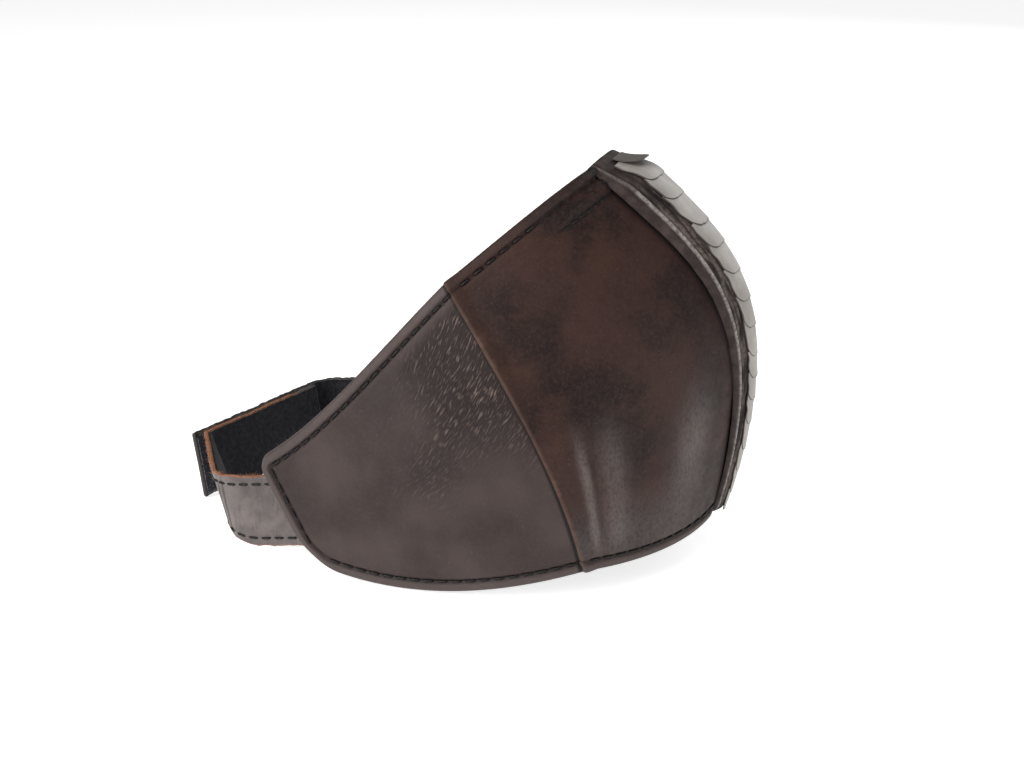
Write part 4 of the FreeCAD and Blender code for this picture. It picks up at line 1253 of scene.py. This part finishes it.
def make_straps():
    """Leather, lining, closure tape and stitches of both straps, shaped round the hinge; only tapes join
    strap bodies.
    """
    for name in SIDES:
        side = SIDES[name]
        end = strap_end(name)
        seed = 600 + side
        body = f"{name}_strap"

        def ride(piece):
            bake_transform(piece)

        points, faces, grid_s, grid_l = strap_band(name, -STRAP_ROOT, end, 0.0, LEATHER, 0.0, STRAP_WIDTH,
                                                   48, 0.40, 0.42)
        half = np.minimum(grid_l, STRAP_WIDTH - grid_l)
        orange = (1 - smooth(98.0, 104.0, grid_s)) if name == "right" else np.zeros_like(grid_s)
        raw_outer = orange * (1 - smooth(0.02, 0.35, half))
        raw_inner = orange * (1 - smooth(0.3, 0.9, half))
        # painted shade: dark in the creases at the bend and over the strap's last millimetre
        fold = np.maximum(fold_lines(name, grid_s, grid_l), smooth(end - 1.8, end - 1.0, grid_s))
        # the left strap's cut edges, dark
        if name == "left":
            fold = np.maximum(fold, 0.85 * (1 - smooth(0.15, 0.6, half)))
        patchy = layered_noise(seed + 3, grid_s / 1.3, grid_l / 1.8, 2)
        # lighter rust-brown patch round the bend, uneven
        bend_patch = bump(15.0, 3.5, grid_s) * smooth(-0.1, 0.5, patchy)
        leather = make_object(f"{name}_strap_band", points, faces, STRAP_LEATHER, {
            "raw": np.stack([raw_outer, raw_inner]),
            "fold": np.stack([fold, fold if name == "left" else 0 * fold]),
            "bend_patch": np.stack([bend_patch, 0 * fold])})
        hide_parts(f"{name}_strap_leather", f"{name}_strap_root")
        ride(leather)

        inner_face = LEATHER + GLUE
        lining_end = end - TRIM if name == "right" else end - HOOK_TAPE - TRIM
        points, faces, _, _ = strap_band(name, -2.0, lining_end, inner_face, inner_face + STRAP_LINING,
                                         0.3, STRAP_WIDTH - 0.3, 40, 0.25)
        cloth = make_object(f"{name}_strap_cloth", points, faces, STRAP_CLOTH)
        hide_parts(f"{name}_strap_lining")
        ride(cloth)

        if name == "left":
            node, tape_length, outer = "left_strap_hook_tape", HOOK_TAPE, inner_face
        else:
            node, tape_length, outer = "right_strap_loop_tape", LOOP_TAPE, -GLUE - TAPE_PILE
        points, faces, _, _ = strap_band(name, end - tape_length, end - TRIM, outer, outer + TAPE_PILE,
                                         1.0, STRAP_WIDTH - 1.0, 30, 0.15)
        tape = make_object(f"{name}_tape_pile", points, faces, TAPE)
        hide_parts(node)
        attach(tape, body)

        places, plan, normals = strap_line(name, -16.0, end - 2.0)
        parts = []
        for level in (STRAP_EDGE, STRAP_WIDTH - STRAP_EDGE):
            pushed = ripple(name, places, level)
            line = loop_point(plan + normals * (pushed - 0.16)[:, None], level + raised(name, places, level))
            out = -(normals[:, :1] * np.array([1.0, 0, 0]) + normals[:, 1:] * LOOP_BACK)
            last = len(line) - 1
            parts += stitch_parts(lambda part: (
                np.array([np.interp(part * last, np.arange(last + 1), line[:, k]) for k in range(3)]),
                out[min(int(part * last), last)]))
        points, faces = join_parts(parts)
        seam = make_object(f"{name}_strap_thread", points, faces, THREAD_FINISH)
        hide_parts(f"{name}_strap_stitches")
        ride(seam)


STRAP_FIBRES = 420


def strap_fibres():
    """Frayed fibres on the right strap's raw upper edge and at its bend."""
    generator = np.random.default_rng(900)
    places, plan, normals = strap_line("right", -6.0, 66.0)
    chosen = generator.integers(0, len(places), STRAP_FIBRES)
    depth = generator.uniform(0.1, LEATHER - 0.1, STRAP_FIBRES)
    near_bend = bump(15.0, 5.0, places[chosen])
    low = generator.random(STRAP_FIBRES) < 0.25 * near_bend
    level = np.where(low, generator.uniform(0, STRAP_WIDTH, STRAP_FIBRES), STRAP_WIDTH - 0.1)
    pushed = ripple("right", places[chosen], level)
    depth = np.where(low, 0.0, depth)
    roots = loop_point(plan[chosen] + normals[chosen] * (depth + pushed)[:, None], level)
    out = -(normals[chosen][:, :1] * np.array([1.0, 0, 0]) + normals[chosen][:, 1:] * LOOP_BACK)
    directions = np.where(low[:, None], out + 0.3 * LOOP_UP, LOOP_UP + 0.5 * out)
    fringe("right_strap_fibres", ORANGE_FIBRE, roots, directions, 0.9, 0.055, 901,
           "right_strap")


# ------------------------------------------------------------------ pieces kept from the design
def dress_kept_nodes():
    NODES["nose_wire"].data.materials.clear()
    NODES["nose_wire"].data.materials.append(WIRE)


# ------------------------------------------------------------------ floor, lights, camera
FLOOR_GLOW = 0.68               # keeps the floor pale far from the lights
FLOOR_REACH = 40000.0           # from the middle to an edge
CAMERA_AT = (286, 18, 0.495)    # azimuth and elevation in degrees, distance in metres
LIGHTS = {                      # azimuth, elevation, distance and size in metres, power in watts
    "key": (238, 26, 1.3, 1.0, 16.0),
    "top": (290, 72, 1.5, 1.2, 5.0),
    "front_low": (338, 7, 1.4, 0.8, 7.0),
    "far_side": (62, 22, 1.5, 1.1, 8.0),
}


def floor_material():
    s = Surface("floor")
    tone = s.mix(s.noise(0.004, 2.0, 0.5), (0.86, 0.86, 0.86), (0.90, 0.90, 0.90))
    return s.finish(Base_Color=tone, Roughness=0.75, Specular_IOR_Level=0.2,
                    Emission_Color=(1.0, 1.0, 1.0), Emission_Strength=FLOOR_GLOW)


def make_stage():
    corners = np.array([(-1, -1, 0), (1, -1, 0), (1, 1, 0), (-1, 1, 0)]) * FLOOR_REACH
    floor = make_object("floor", corners - (0, 0, 0.02), [(0, 1, 2, 3)], floor_material(), flat=True)


TARGET = Vector((0.0, ORIGIN_SHIFT[1] * MM, 0.047))  # the point that the camera and lights face


def direction(azimuth, elevation):
    """From the target towards a place round the mask; azimuth 0 is in front of its face."""
    a, e = math.radians(azimuth), math.radians(elevation)
    return Vector((math.sin(a) * math.cos(e), -math.cos(a) * math.cos(e), math.sin(e)))


def area_light(name, azimuth, elevation, distance, size, power):
    data = bpy.data.lights.new(name, "AREA")
    data.shape = "DISK"
    data.size = size
    data.energy = power
    light = bpy.data.objects.new(name, data)
    light.location = TARGET + direction(azimuth, elevation) * distance
    light.rotation_euler = direction(azimuth, elevation).to_track_quat("Z", "Y").to_euler()
    bpy.context.scene.collection.objects.link(light)


def make_lights():
    for name, settings in LIGHTS.items():
        area_light(name, *settings)
    world = bpy.data.worlds.new("studio")
    world.use_nodes = True
    background = world.node_tree.nodes["Background"]
    background.inputs["Color"].default_value = (1.0, 1.0, 1.0, 1.0)
    background.inputs["Strength"].default_value = 0.22
    bpy.context.scene.world = world
    bpy.context.scene.view_settings.view_transform = "Standard"


def make_camera():
    data = bpy.data.cameras.new("camera")
    data.sensor_width = 36.0
    data.lens = 56.5
    data.clip_start = 0.01
    camera = bpy.data.objects.new("camera", data)
    azimuth, elevation, distance = CAMERA_AT
    back = direction(azimuth, elevation)
    camera.location = TARGET + back * distance
    camera.rotation_euler = back.to_track_quat("Z", "Y").to_euler()
    bpy.context.scene.collection.objects.link(camera)
    bpy.context.scene.camera = camera


for side_name, side in SIDES.items():
    front_panel(side, side_name)
    rear_panel(side, side_name)
    lining(side, side_name, "front", front_cheek, (0.045, 0.985), FRONT_SIZE)
    lining(side, side_name, "rear", rear_cheek, (0.012, 0.86), REAR_SIZE)
    lining_fringe(side, side_name)
    hem_stitches(side, side_name)
strip_body()
strip_filler()
belly_scales()
make_straps()
strap_fibres()
dress_kept_nodes()
make_stage()
make_lights()
make_camera()
